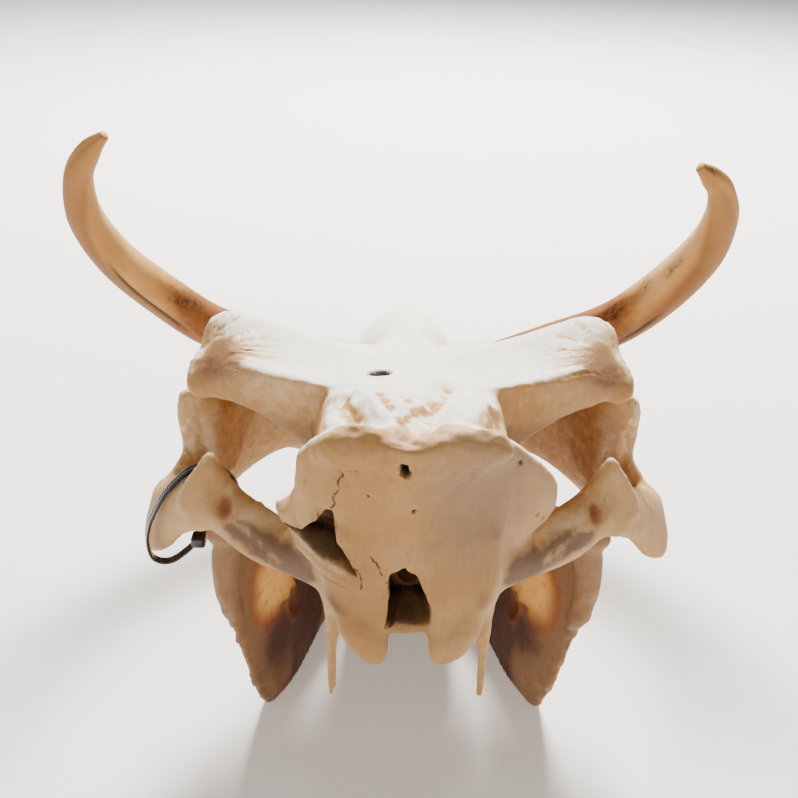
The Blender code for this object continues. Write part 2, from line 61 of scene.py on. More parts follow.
LATTICE_PRIMES = (73856093, 19349663, 83492791)   # one for each axis, to mix the noise's cells
SEED_PRIME = 26544357
MIX_PRIME = 1274126177
WORD = 0xFFFFFFFF         # keeps 32 bits
HALF_RANGE = 32767.5      # half of the largest number of 16 bits
PLUG_CORNERS = 72         # points round a jagged plug
PLUG_RINGS = 8            # rings along it
JAG_SIZE = 5              # length of its coarsest jags
EASE_PASSES = 3           # smoothing of the even grid
MERGE_REACH = 1e-6        # metres within which a frame node's corners are one
MELT_REACH = 2e-5         # the same after a cut
SHARP_EDGE = 55           # degrees from which an edge of the cranium stays sharp


class Side(Enum):
    """Side of the skull, as the sign of X."""

    LEFT = -1
    RIGHT = 1


# Numbers and noise

def srgb(red: float, green: float, blue: float) -> Triple:
    """Linear colour from display values between 0 and 255.

    Args:
        red: Red as a display shows it.
        green: Green.
        blue: Blue.

    Returns:
        The three linear values, from 0 to 1.
    """
    values = np.array([red, green, blue]) / 255
    linear = np.where(values <= 0.04045, values / 12.92, ((values + 0.055) / 1.055) ** 2.4)
    return tuple(linear.tolist())


def ramp(values: Array, start: float, end: float) -> Array:
    """0 at the start and 1 at the end, 3t squared less 2t cubed between. The end may be smaller."""
    t = np.clip((values - start) / (end - start), 0, 1)
    return t * t * (3 - 2 * t)


def bell(values: Array, wide: float) -> Array:
    """1 at zero, falling as e to minus the squared value in widths."""
    return np.exp(-((values / wide) ** 2))


def blunt(values: Array, power: float) -> Array:
    """Values raised to a power with their sign kept, for the corners of superellipses."""
    return np.sign(values) * np.abs(values) ** power


def noise(points: Array, size: float, seed: int = 0) -> Array:
    """Smooth random value at each point.

    Formula: a random number from -1 to 1 stands at every corner of a cubic lattice, and the eight
    round a point are averaged with weights 3t squared less 2t cubed along each axis.

    Args:
        points: Places in millimetres, one row each.
        size: Edge of a lattice cell.
        seed: Picks the random numbers.

    Returns:
        One value for each point.
    """
    scaled = points / size
    cell = np.floor(scaled).astype(np.int64)
    t = ramp(scaled - cell, 0, 1)
    total = np.zeros(len(points))
    for corner in range(8):
        offset = np.array([(corner >> axis) & 1 for axis in range(3)])
        weight = np.prod(np.where(offset == 1, t, 1 - t), axis=1)
        mixed = np.bitwise_xor.reduce((cell + offset) * LATTICE_PRIMES, axis=1) ^ seed * SEED_PRIME
        mixed &= WORD
        mixed = ((mixed ^ (mixed >> 13)) * MIX_PRIME) & WORD
        mixed ^= mixed >> 16
        total += weight * ((mixed & 0xFFFF) / HALF_RANGE - 1)
    return total


def fractal(points: Array, size: float, octaves: int, seed: int = 0) -> Array:
    """Sum of noise layers, each at half the size and half the height of the one before."""
    return sum(noise(points, size / 2**k, seed + k) / 2**k for k in range(octaves))


def line_distance(flat: Array, line: Outline) -> Array:
    """Distance of each point from a broken line: the least over its segments.

    Args:
        flat: Points, one row each.
        line: Corners of the broken line.

    Returns:
        One distance for each point, in millimetres.
    """
    best = np.full(len(flat), 1e9)
    for start, end in zip(np.array(line[:-1], float), np.array(line[1:], float)):
        along = end - start
        t = np.clip(((flat - start) @ along) / (along @ along), 0, 1)
        best = np.minimum(best, np.linalg.norm(flat - start - t[:, None] * along, axis=1))
    return best


def smooth_rows(stations: Array, per_span: int) -> Array:
    """Rows on the cubic curve through the stations, with per_span rows for each gap.

    Args:
        stations: Rows that the curve goes through.
        per_span: How many rows each gap gets.

    Returns:
        The rows, down to the last station.
    """
    rows = np.asarray(stations, float)
    slope = np.gradient(rows, axis=0)
    t = (np.arange(per_span) / per_span)[None, :, None]
    a, b = rows[:-1, None], rows[1:, None]
    c, d = slope[:-1, None], slope[1:, None]
    at_places = (2 * t**3 - 3 * t**2 + 1) * a + (3 * t**2 - 2 * t**3) * b
    curve = at_places + (t**3 - 2 * t**2 + t) * c + (t**3 - t**2) * d
    return np.vstack([curve.reshape(-1, rows.shape[1]), rows[-1:]])


def unit(vectors: Array) -> Array:
    """The same directions at length 1."""
    return vectors / np.linalg.norm(vectors, axis=1, keepdims=True)


def travelled(path: Array) -> Array:
    """Length of the path up to each of its points."""
    return np.concatenate([[0], np.cumsum(np.linalg.norm(np.diff(path, axis=0), axis=1))])


def full_turn(count: int) -> Array:
    """Evenly spaced angles of a whole turn."""
    return np.linspace(0, 2 * math.pi, count, endpoint=False)


@dataclass(frozen=True)
class Spot:
    """Soft patch in space: its middle, its reach along each axis and its strength."""

    at: Triple
    reach: Triple
    strength: float = 1.0

    def over(self, points: Array) -> Array:
        """The strength times e to minus the squared distance, counted in reaches."""
        parted = (points - np.array(self.at)) / np.array(self.reach)
        return self.strength * np.exp(-(parted**2).sum(axis=1))


@dataclass(frozen=True)
class Pit:
    """Small oval hole: its middle and half sizes in the plane it is seen in, and its depth."""

    at: tuple[float, float]
    half: tuple[float, float]
    depth: float

    def share(self, flat: Array) -> Array:
        """1 inside the pit and 0 outside, with a steep smooth wall."""
        return ramp(np.linalg.norm((flat - np.array(self.at)) / np.array(self.half), axis=1), 1.25, 0.7)


# Meshes

def to_world(points: Array) -> Array:
    """World metres from millimetres about the foramen."""
    return (points + FORAMEN) * MM


@contextmanager
def editing(data: Mesh) -> Iterator[bmesh.types.BMesh]:
    """Opens a mesh for editing and writes it back afterwards.

    Args:
        data: The mesh.

    Yields:
        The mesh in its editable form.
    """
    shell = bmesh.new()
    shell.from_mesh(data)
    yield shell
    shell.to_mesh(data)
    shell.free()


def grid_object(name: str, grid: Array, closed: bool = False) -> Object:
    """Closed mesh from a grid of points.

    Formula: point (i, j) of the grid joins (i + 1, j), (i + 1, j + 1) and (i, j + 1), and j wraps
    round. i wraps round too where closed is true, and otherwise the first and last rings are
    capped by a fan about their middles.

    Args:
        name: Name of the object.
        grid: Array of rings by ring points by 3, in millimetres about the foramen.
        closed: True where the last ring joins the first.

    Returns:
        The new object, at the origin.
    """
    rings, count, _ = grid.shape
    index = np.arange(rings * count).reshape(rings, count)
    one, other = (index, np.roll(index, -1, 0)) if closed else (index[:-1], index[1:])
    corners = [one, np.roll(one, -1, 1), np.roll(other, -1, 1), other]
    faces = np.stack(corners, axis=-1).reshape(-1, 4).tolist()
    points = grid.reshape(-1, 3)
    if not closed:
        for ring, tip in ((index[0], len(points)), (index[-1], len(points) + 1)):
            faces += np.stack([ring, np.roll(ring, -1), np.full(count, tip)], axis=-1).tolist()
        points = np.vstack([points, grid[0].mean(0), grid[-1].mean(0)])
    data = bpy.data.meshes.new(name)
    data.from_pydata(to_world(points).tolist(), [], faces)
    with editing(data) as shell:
        bmesh.ops.recalc_face_normals(shell, faces=shell.faces)
    return link(name, data)


def link(name: str, data: ID) -> Object:
    """New object in the scene for a mesh, a light or a camera.

    Args:
        name: Name of the object.
        data: Its mesh, light or camera.

    Returns:
        The object.
    """
    obj = bpy.data.objects.new(name, data)
    bpy.context.scene.collection.objects.link(obj)
    return obj


def settle_modifiers(obj: Object) -> None:
    """Replaces the mesh by what its modifiers make of it.

    Args:
        obj: The object with the modifiers.
    """
    data = bpy.data.meshes.new_from_object(obj.evaluated_get(bpy.context.evaluated_depsgraph_get()))
    obj.modifiers.clear()
    obj.data = data


def vertex_rows(obj: Object, kind: str) -> Array:
    """One row for each vertex: its place where kind is co, or its normal.

    Args:
        obj: The object.
        kind: Either co or normal.

    Returns:
        Three numbers for each vertex.
    """
    flat = np.empty(len(obj.data.vertices) * 3, np.float32)
    obj.data.vertices.foreach_get(kind, flat)
    return flat.reshape(-1, 3).astype(float)


def positions(obj: Object) -> Array:
    """Vertices in millimetres about the foramen."""
    return vertex_rows(obj, "co") / MM - FORAMEN


def place(obj: Object, points: Array) -> None:
    """Moves the vertices to places in millimetres about the foramen."""
    obj.data.vertices.foreach_set("co", to_world(points).astype(np.float32).ravel())
    obj.data.update()


def paint(obj: Object, name: str, values: Array) -> None:
    """Stores one number from 0 to 1 at each vertex for the materials."""
    layer = obj.data.attributes.new(name, "FLOAT", "POINT")
    layer.data.foreach_set("value", np.clip(values, 0, 1).astype(np.float32))


def neighbour_mean(obj: Object, values: Array, passes: int) -> Array:
    """Values averaged over each vertex's neighbours, several times over.

    Args:
        obj: The object.
        values: A number or a row for each vertex.
        passes: How often they are averaged.

    Returns:
        The averaged values, in the same order and shape.
    """
    pairs = np.empty(len(obj.data.edges) * 2, np.int32)
    obj.data.edges.foreach_get("vertices", pairs)
    one, other = pairs.reshape(-1, 2).T
    count = len(obj.data.vertices)
    degree = np.maximum(np.bincount(one, minlength=count) + np.bincount(other, minlength=count), 1)
    columns = values.reshape(count, -1)
    for _ in range(passes):
        summed = [
            np.bincount(one, column[other], count) + np.bincount(other, column[one], count)
            for column in columns.T
        ]
        columns = (columns + np.array(summed).T / degree[:, None]) / 2
    return columns.reshape(values.shape)


def hollowness(obj: Object, passes: int) -> Array:
    """How far each vertex lies below its neighbourhood, in millimetres: above 0 in grooves."""
    points = positions(obj)
    return ((neighbour_mean(obj, points, passes) - points) * vertex_rows(obj, "normal")).sum(axis=1)


def relax(obj: Object, share: Array, passes: int) -> None:
    """Evens the surface out: each vertex goes by its share towards its neighbourhood's mean."""
    points = positions(obj)
    place(obj, points + (neighbour_mean(obj, points, passes) - points) * share[:, None])


def refine(obj: Object, chosen: Array) -> None:
    """Halves every edge between two chosen vertices, where fine detail follows.

    Args:
        obj: The object.
        chosen: True for each chosen vertex.
    """
    with editing(obj.data) as shell:
        edges = [edge for edge in shell.edges if chosen[edge.verts[0].index] and chosen[edge.verts[1].index]]
        bmesh.ops.subdivide_edges(shell, edges=edges, cuts=1, smooth=0.5, use_grid_fill=True)


def combine(target: Object, tools: list[Object], operation: str) -> None:
    """Joins the tools to the target or cuts them from it, and removes them.

    Args:
        target: The object that is changed.
        tools: The bodies that are joined to it or cut from it.
        operation: Either UNION or DIFFERENCE.
    """
    group = bpy.data.collections.new("tools")
    bpy.context.scene.collection.children.link(group)
    for tool in tools:
        group.objects.link(tool)
    step = target.modifiers.new("join", "BOOLEAN")
    step.operation = operation
    step.solver = "EXACT"
    step.operand_type = "COLLECTION"
    step.collection = group
    settle_modifiers(target)
    for tool in tools:
        bpy.data.objects.remove(tool)
    bpy.data.collections.remove(group)


def jagged_plug(name: str, outline: Outline, reach: tuple[float, float], rough: float, seed: int) -> Object:
    """Closed body with a broken edge, for a hole seen from behind.

    Formula: the outline in X and Z is resampled evenly, each ring is pushed in and out by noise
    times rough, and the rings are set along Y from reach's first number to its second.

    Args:
        name: Name of the object.
        outline: Corners of the hole in X and Z, in millimetres.
        reach: Where the body starts and ends along Y.
        rough: Height of the jags in millimetres.
        seed: Number that picks the jags.

    Returns:
        The body as an object.
    """
    corners = np.array(outline + outline[:1], float)
    length = travelled(corners)
    at = np.linspace(0, length[-1], PLUG_CORNERS, endpoint=False)
    flat = np.stack([np.interp(at, length, corners[:, k]) for k in range(2)], axis=-1)
    outward = unit(flat - flat.mean(axis=0))
    size = (PLUG_RINGS, PLUG_CORNERS)
    y = np.broadcast_to(np.linspace(*reach, PLUG_RINGS)[:, None], size)
    x, z = (np.broadcast_to(flat[:, k], size) for k in range(2))
    jag = fractal(np.stack([x, z, y], axis=-1).reshape(-1, 3), JAG_SIZE, 3, seed).reshape(size) * rough
    return grid_object(name, np.stack([x + outward[:, 0] * jag, y, z + outward[:, 1] * jag], axis=-1))


def ledge_body(name: str, path: tuple[Triple, ...], high: float, thick: float) -> Object:
    """Thin ledge of bone along a path.

    Formula: at each point of the smooth path stands a superellipse, high along Z and thick across
    the path, that shrinks to a quarter at both ends.

    Args:
        name: Name of the object.
        path: Points of its middle, in millimetres.
        high: Half height.
        thick: Half thickness.

    Returns:
        The ledge as an object.
    """
    middle = smooth_rows(np.array(path), 5)
    up = np.array((0.0, 0.0, 1.0))
    across = np.cross(unit(np.gradient(middle, axis=0) * (1, 1, 0)), up)
    angle = full_turn(24)
    ends = 1 - 0.75 * np.linspace(-1, 1, len(middle))[:, None, None] ** 6
    flat = thick * blunt(np.cos(angle), 0.7)[None, :, None] * ends
    tall = high * np.sin(angle)[None, :, None] * ends
    return grid_object(name, middle[:, None] + flat * across[:, None] + tall * up)


def ellipse(x: float, z: float, wide: float, high: float) -> Outline:
    """Corners of an ellipse in X and Z: its middle and half sizes times a cosine and a sine."""
    angle = full_turn(24)
    return tuple(zip(x + wide * np.cos(angle), z + high * np.sin(angle)))


def refined_copy(node: str, name: str, voxel: float, fills: list[Object]) -> Object:
    """Even, smooth copy of a frame node, ready for carving.

    Args:
        node: Name of the frame's node.
        name: Name of the new piece.
        voxel: Edge of the even grid in millimetres.
        fills: Bodies joined to it before the grid is made.

    Returns:
        The copy, which replaces the node.
    """
    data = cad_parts[node].data.copy()
    with editing(data) as shell:
        bmesh.ops.remove_doubles(shell, verts=shell.verts, dist=MERGE_REACH)
    data.materials.clear()
    piece = link(name, data)
    if fills:
        combine(piece, fills, "UNION")
    remesh = piece.modifiers.new("even", "REMESH")
    remesh.mode = "VOXEL"
    remesh.voxel_size = voxel * MM
    ease = piece.modifiers.new("ease", "SMOOTH")
    ease.factor = 0.5
    ease.iterations = EASE_PASSES
    settle_modifiers(piece)
    dress(piece, node)
    return piece


def triangulate(obj: Object) -> None:
    """Splits every face into triangles and melts corners that share a place.

    Args:
        obj: The object.
    """
    with editing(obj.data) as shell:
        bmesh.ops.remove_doubles(shell, verts=shell.verts, dist=MELT_REACH)
        bmesh.ops.triangulate(shell, faces=shell.faces)


def dress(piece: Object, *nodes: str) -> None:
    """Lets the piece stand for the frame's nodes, on the only body.

    Args:
        piece: The finished piece.
        nodes: Names of the nodes.
    """
    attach(piece, "root")
    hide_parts(*nodes)
    piece.data.shade_smooth()


class Surface:
    """A piece's vertices as arrays: places, normals, and the places with X made positive."""

    def __init__(self, piece: Object) -> None:
        """Reads the piece as it is now.

        Args:
            piece: The piece.
        """
        self.points = positions(piece)
        self.facing = vertex_rows(piece, "normal")
        self.side = self.points * (0, 1, 1) + np.abs(self.points) * (1, 0, 0)
        self.back = -self.facing[:, 1]
        self.up = self.facing[:, 2]


# Materials

@dataclass
class Shader:
    """A material's nodes, added by short calls. Sockets are passed on as they are made."""

    name: str
    material: Material = field(init=False)
    colour: object = field(init=False, default=None)

    def __post_init__(self) -> None:
        """Starts the material with its Principled shader."""
        self.material = bpy.data.materials.new(self.name)
        self.material.use_nodes = True
        self.tree = self.material.node_tree
        self.surface = self.tree.nodes["Principled BSDF"]
        self.place = self.node("TexCoord", "Object", {})

    def node(self, kind: str, output: Key, inputs: dict[Key, object], **settings: object) -> NodeSocket:
        """Adds a node with its settings, feeds its inputs and returns one of its outputs.

        Args:
            kind: The node's type.
            output: Name or number of the output that is wanted.
            inputs: Sockets, numbers or colours by the name or number of their input.
            settings: The node's own settings.

        Returns:
            The output's socket.
        """
        made = self.tree.nodes.new("ShaderNode" + kind)
        for key, value in settings.items():
            setattr(made, key, value)
        for key, value in inputs.items():
            self.feed(made.inputs[key], value)
        return made.outputs[output]

    def feed(self, socket: NodeSocket, value: object) -> None:
        """Links a socket to an input, or sets its number or colour.

        Args:
            socket: The input.
            value: A socket, a number or a colour.
        """
        if isinstance(value, NodeSocket):
            self.tree.links.new(value, socket)
        elif isinstance(value, tuple) and len(value) == 3 and socket.type == "RGBA":
            socket.default_value = (*value, 1.0)
        else:
            socket.default_value = value

    def math(self, operation: str, *values: object) -> NodeSocket:
        """Result of a sum on sockets or numbers, kept between 0 and 1."""
        return self.node("Math", 0, dict(enumerate(values)), operation=operation, use_clamp=True)

    def times(self, one: object, other: object) -> NodeSocket:
        """Product, kept between 0 and 1."""
        return self.math("MULTIPLY", one, other)

    def plus(self, one: object, other: object) -> NodeSocket:
        """Sum, kept between 0 and 1."""
        return self.math("ADD", one, other)

    def spread(self, value: object, low: float, high: float) -> NodeSocket:
        """0 where the value is low and 1 where it is high, smoothly between. High may be smaller."""
        inputs = {"Value": value, "From Min": low, "From Max": high}
        return self.node("MapRange", "Result", inputs, interpolation_type="SMOOTHSTEP", clamp=True)

    def mix(self, share: object, one: object, other: object) -> NodeSocket:
        """Colour that goes from one to the other by the share."""
        return self.node("Mix", 2, {0: share, 6: one, 7: other}, data_type="RGBA")

    def coat(self, share: object, tint: Triple) -> None:
        """Lays a tint over the material's colour by the share."""
        self.colour = self.mix(share, self.colour, tint)

    def grain(
        self, size: float, detail: float = 4, rough: float = 0.55, stretch: Triple = (1, 1, 1)
    ) -> NodeSocket:
        """Noise of a size in millimetres, stretched along the axes.

        Args:
            size: Size of its largest spots in millimetres.
            detail: How many finer layers it has.
            rough: How strong each finer layer is.
            stretch: Factor on the size along each axis.

        Returns:
            The noise, from 0 to 1.
        """
        scale = tuple(1 / (size * MM * s) for s in stretch)
        turned = self.node("Mapping", "Vector", {"Scale": scale, "Vector": self.place})
        inputs = {"Vector": turned, "Scale": 1.0, "Detail": detail, "Roughness": rough}
        return self.node("TexNoise", "Fac", inputs)

    def cells(self, size: float) -> NodeSocket:
        """Distance from the middle of cells of a size in millimetres: small at pores."""
        inputs = {"Vector": self.place, "Scale": 1 / (size * MM)}
        return self.node("TexVoronoi", "Distance", inputs, feature="F1")

    def vector(self, operation: str, one: object, other: object, result: str = "Vector") -> NodeSocket:
        """Result of a vector sum. For SCALE the second value is the factor, and LENGTH has none.

        Args:
            operation: The sum's name.
            one: First vector.
            other: Second vector or factor.
            result: Name of the output that is wanted.

        Returns:
            The result's socket.
        """
        inputs = {0: one}
        if operation != "LENGTH":
            inputs["Scale" if operation == "SCALE" else 1] = other
        return self.node("VectorMath", result, inputs, operation=operation)

    def line_gap(self, lines: tuple[Outline, ...], wobble: float, wave: float) -> NodeSocket:
        """Distance in X and Z from broken lines, in millimetres up to 1.

        Formula: for each stretch from a to b, the length of p less a less t times b less a, where
        t is the share of the way, kept between 0 and 1. The least of them is the result.

        Args:
            lines: The broken lines, in millimetres about the foramen.
            wobble: How far noise pushes the place that is measured.
            wave: Size of that noise in millimetres.

        Returns:
            The distance.
        """
        cloud = self.node("TexNoise", "Color", {"Vector": self.place, "Scale": 1 / (wave * MM)})
        push = self.vector("SCALE", self.vector("SUBTRACT", cloud, (0.5, 0.5, 0.5)), wobble)
        here = self.vector("SUBTRACT", self.vector("SCALE", self.place, 1 / MM), tuple(FORAMEN.tolist()))
        here = self.vector("MULTIPLY", self.vector("ADD", here, push), (1.0, 0.0, 1.0))
        least = None
        for line in lines:
            for start, end in zip(line[:-1], line[1:]):
                step = np.array((end[0] - start[0], 0.0, end[1] - start[1]))
                offset = self.vector("SUBTRACT", here, (float(start[0]), 0.0, float(start[1])))
                rate = tuple((step / (step @ step)).tolist())
                share = self.plus(self.vector("DOT_PRODUCT", offset, rate, "Value"), 0.0)
                rest = self.vector("SUBTRACT", offset, self.vector("SCALE", tuple(step.tolist()), share))
                gap = self.vector("LENGTH", rest, None, "Value")
                least = gap if least is None else self.math("MINIMUM", least, gap)
        return least

    def painted(self, name: str, strength: float = 1) -> NodeSocket:
        """The piece's own painted number, times a strength."""
        value = self.node("Attribute", "Fac", {}, attribute_name=name)
        return value if strength == 1 else self.times(value, strength)

    def bump(self, *layers: tuple[NodeSocket, float, float]) -> None:
        """Relief on the surface from heights, each with its strength and depth in millimetres."""
        below = {}
        for height, strength, depth in layers:
            inputs = {"Height": height, "Strength": strength, "Distance": depth * MM}
            below = {"Normal": self.node("Bump", "Normal", inputs | below)}
        self.set(**below)

    def set(self, **values: object) -> None:
        """Sets the Principled shader's sockets, with underscores for spaces in their names."""
        for key, value in values.items():
            self.feed(self.surface.inputs[key.replace("_", " ")], value)


@dataclass(frozen=True)
class BoneFinish:
    """Dry bone: cream and tan patches, bleached and painted sunlit above, dirt with painted shade in the
    grooves, and fine pores.
    """

    name: str
    pale: Triple
    tan: Triple
    grey: Triple
    warm: Triple
    sunlit_bleached: Triple
    grime: Triple
    dark: Triple
    amber: Triple
    rim: Triple
    glow: float
    glow_depth: float
    cracks: tuple[Outline, ...] = ()
    patch_size: float = 30
    mottle_size: float = 5
    fibre_size: float = 1.6
    pore_size: float = 1.7
    blush: Triple = (1.0, 0.42, 0.16)   # how far red, green and blue light goes into the bone

    def material(self) -> Material:
        """Builds the material.

        Returns:
            The material, which reads the painted sunlight and bleaching, grey, dirt with painted shade, rim,
            amber, painted shade in holes (dark), glass and behind.
        """
        s = Shader(self.name)
        mottle = s.grain(self.mottle_size, 6, 0.65)
        fibres = s.grain(self.fibre_size, 3, 0.6, (1, 1, 6))
        s.colour = s.mix(s.spread(s.grain(self.patch_size), 0.36, 0.64), self.pale, self.tan)
        s.coat(s.painted("grey", 0.85), self.grey)
        s.coat(s.times(s.spread(mottle, 0.6, 0.4), 0.22), self.tan)
        s.coat(s.painted("rim"), self.rim)
        # Painted sunlight and bleaching: warm cream, then near white, where the painted number and the
        # mottling are high.
        sunned = s.plus(s.painted("bleach"), s.times(s.math("SUBTRACT", mottle, 0.35), 0.5))
        s.coat(s.spread(sunned, 0.1, 0.5), self.warm)
        s.coat(s.spread(sunned, 0.45, 0.9), self.sunlit_bleached)
        # Dirt and painted shade: grooves, hollows and places under edges go darker, mottled.
        grime = s.spread(s.times(s.painted("grime"), s.plus(mottle, 0.45)), 0.1, 0.8)
        s.coat(s.times(grime, 0.85), self.grime)
        # On the jaw, amber is a painted glow of sunlight through thin bone; on the cranium it reddens the ear
        # pits.
        lit = s.plus(s.spread(s.grain(6, 5, 0.7), 0.3, 0.6), 0.5)
        s.coat(s.times(s.painted("amber"), lit), self.amber)
        s.coat(s.times(s.spread(fibres, 0.6, 0.4), 0.1), self.grime)
        pores = s.times(s.spread(s.cells(self.pore_size), 0.16, 0.08), s.spread(s.grain(16, 2), 0.52, 0.64))
        s.coat(s.times(pores, 0.5), self.dark)
        relief = [(s.grain(1.0, 3, 0.6), 0.2, 0.25), (fibres, 0.2, 0.35), (pores, -0.5, 0.4)]
        relief.append((s.grain(8, 4, 0.6), 0.25, 0.9))
        if self.cracks:
            gap = s.line_gap(self.cracks, 1.6, 2.5)
            broken = s.spread(s.grain(3.2, 2), 0.36, 0.5)
            crack = s.times(s.times(s.spread(gap, 0.6, 0.15), broken), s.painted("behind"))
            s.coat(s.times(crack, 0.9), self.dark)
            relief.append((crack, -0.8, 0.6))
        # Painted shade: darkness inside the holes and openings.
        s.coat(s.painted("dark"), self.dark)
        s.set(Base_Color=s.colour, Roughness=s.plus(s.times(mottle, 0.25), 0.52))
        s.set(Subsurface_Weight=s.plus(s.painted("glass", 0.5), self.glow), Subsurface_Radius=self.blush)
        s.set(Subsurface_Scale=self.glow_depth * MM, Specular_IOR_Level=0.3)
        s.bump(*relief)
        return s.material


@dataclass(frozen=True)
class IvoryFinish:
    """Golden tusk ivory: long streaks that follow the tusk, a brown base, a tip with wear, painted shade
    below and painted sunlight on the inner side.
    """

    name: str = "ivory"
    gold: Triple = srgb(214, 162, 94)
    honey: Triple = srgb(182, 124, 64)
    base: Triple = srgb(126, 70, 36)
    tip: Triple = srgb(190, 140, 84)
    outer: Triple = srgb(122, 78, 46)
    pale: Triple = srgb(236, 198, 138)
    soil: Triple = srgb(44, 24, 20)
    patch_size: float = 24
    cloud_size: float = 5
    stain_size: float = 2.6
    speck_size: float = 1.8

    def material(self) -> Material:
        """Builds the material, which reads root, tip, outer, pale, groove, stain and streak.

        Returns:
            The material.
        """
        s = Shader(self.name)
        cloud = s.grain(self.cloud_size, 5, 0.7)
        s.colour = s.mix(s.times(s.spread(s.grain(self.patch_size), 0.35, 0.65), 0.7), self.gold, self.honey)
        s.coat(s.painted("streak", 0.45), self.honey)
        s.coat(s.painted("tip", 0.8), self.tip)
        # Painted sunlight on the inner side, and painted shade on the lower, outer side.
        s.coat(s.painted("pale", 0.8), self.pale)
        s.coat(s.painted("outer", 0.85), self.outer)
        cloudy = s.times(s.painted("root"), s.plus(cloud, 0.3))
        s.coat(s.times(s.spread(cloudy, 0.15, 0.8), 0.85), self.base)
        stain = s.times(s.painted("stain"), s.spread(s.grain(self.stain_size, 6, 0.75), 0.34, 0.62))
        s.coat(s.times(stain, 0.8), self.soil)
        s.coat(s.painted("groove", 0.95), self.soil)
        s.coat(s.times(s.spread(s.grain(self.speck_size, 3, 0.7), 0.69, 0.75), 0.6), self.base)
        s.set(Base_Color=s.colour, Roughness=s.plus(s.times(cloud, 0.3), 0.42))
        s.set(Specular_IOR_Level=0.15, Subsurface_Weight=0.05, Subsurface_Scale=2 * MM)
        s.bump((s.grain(0.9, 3, 0.6), 0.2, 0.2), (cloud, 0.3, 0.6), (s.painted("streak"), -0.5, 0.5))
        return s.material


@dataclass(frozen=True)
class EnamelFinish:
    """Worn cheek-tooth enamel with brown cement between its columns, and dirt with painted shade in the
    hollows.
    """

    name: str = "enamel"
    enamel: Triple = srgb(206, 182, 138)
    cement: Triple = srgb(150, 112, 72)
    soil: Triple = srgb(78, 52, 36)
    cement_size: float = 9

    def material(self) -> Material:
        """Builds the material, which reads the painted number groove.

        Returns:
            The material.
        """
        s = Shader(self.name)
        cemented = s.times(s.spread(s.grain(self.cement_size), 0.35, 0.8), 0.7)
        s.colour = s.mix(cemented, self.enamel, self.cement)
        # Dirt and painted shade: the hollows between the columns go darker.
        s.coat(s.painted("groove"), self.soil)
        s.set(Base_Color=s.colour, Roughness=0.38, Coat_Weight=0.2)
        s.bump((s.grain(1.2, 3), 0.3, 0.3), (s.grain(2.4, 2, 0.5, (1, 1, 6)), 0.4, 0.5))
        return s.material


@dataclass(frozen=True)
class NylonFinish:
    """Glossy black strap, a little dusty, with a painted sheen: a lighter band along its ribs."""

    name: str = "black_nylon"
    black: Triple = srgb(22, 21, 26)
    dust_and_sheen: Triple = srgb(96, 92, 96)
    dust_size: float = 3

    def material(self) -> Material:
        """Builds the material, which reads the painted number rib.

        Returns:
            The material.
        """
        s = Shader(self.name)
        dust = s.times(s.spread(s.grain(self.dust_size), 0.5, 0.7), 0.12)
        # Painted sheen: the raised band along the ribs goes lighter grey.
        s.colour = s.mix(s.painted("rib", 0.7), self.black, self.dust_and_sheen)
        s.coat(dust, self.dust_and_sheen)
        s.set(Base_Color=s.colour, Roughness=s.plus(dust, 0.26), Coat_Weight=0.2)
        s.bump((s.grain(0.8, 2), 0.1, 0.1))
        return s.material


CRANIUM_BONE = BoneFinish(
    name="cranium_bone",
    pale=srgb(196, 154, 102),
    tan=srgb(182, 134, 78),
    grey=srgb(150, 118, 92),
    warm=srgb(230, 194, 146),
    sunlit_bleached=srgb(250, 244, 232),
    grime=srgb(98, 72, 56),
    dark=srgb(44, 34, 34),
    amber=srgb(160, 92, 66),
    rim=srgb(170, 124, 88),
    glow=0.05,
    glow_depth=1.5,
    cracks=(
        ((-8.9, 16.9), (-11.5, 22.9), (-13.0, 26.7), (-15.2, 29.9)),
        ((-21.0, 24.0), (-19.2, 21.5), (-18.3, 18.6), (-18.6, 14.5)),
        ((-24.6, 67), (-26.8, 62.6), (-26.1, 59.8), (-28.6, 55.3), (-27.9, 52.0), (-29.4, 49.5)),
    ),
)
# Darker and redder than the cranium's bone: partly stain, partly painted shade and bounce light of the jaw's
# shaded faces; its amber is a painted glow.
JAW_BONE = BoneFinish(
    name="jaw_bone",
    pale=srgb(152, 108, 70),
    tan=srgb(124, 82, 50),
    grey=srgb(158, 122, 86),
    warm=srgb(190, 152, 112),
    sunlit_bleached=srgb(216, 188, 152),
    grime=srgb(74, 38, 28),
    dark=srgb(44, 20, 14),
    amber=srgb(255, 208, 116),
    rim=srgb(172, 82, 34),
    glow=0.1,
    glow_depth=9.0,
)


# The bones

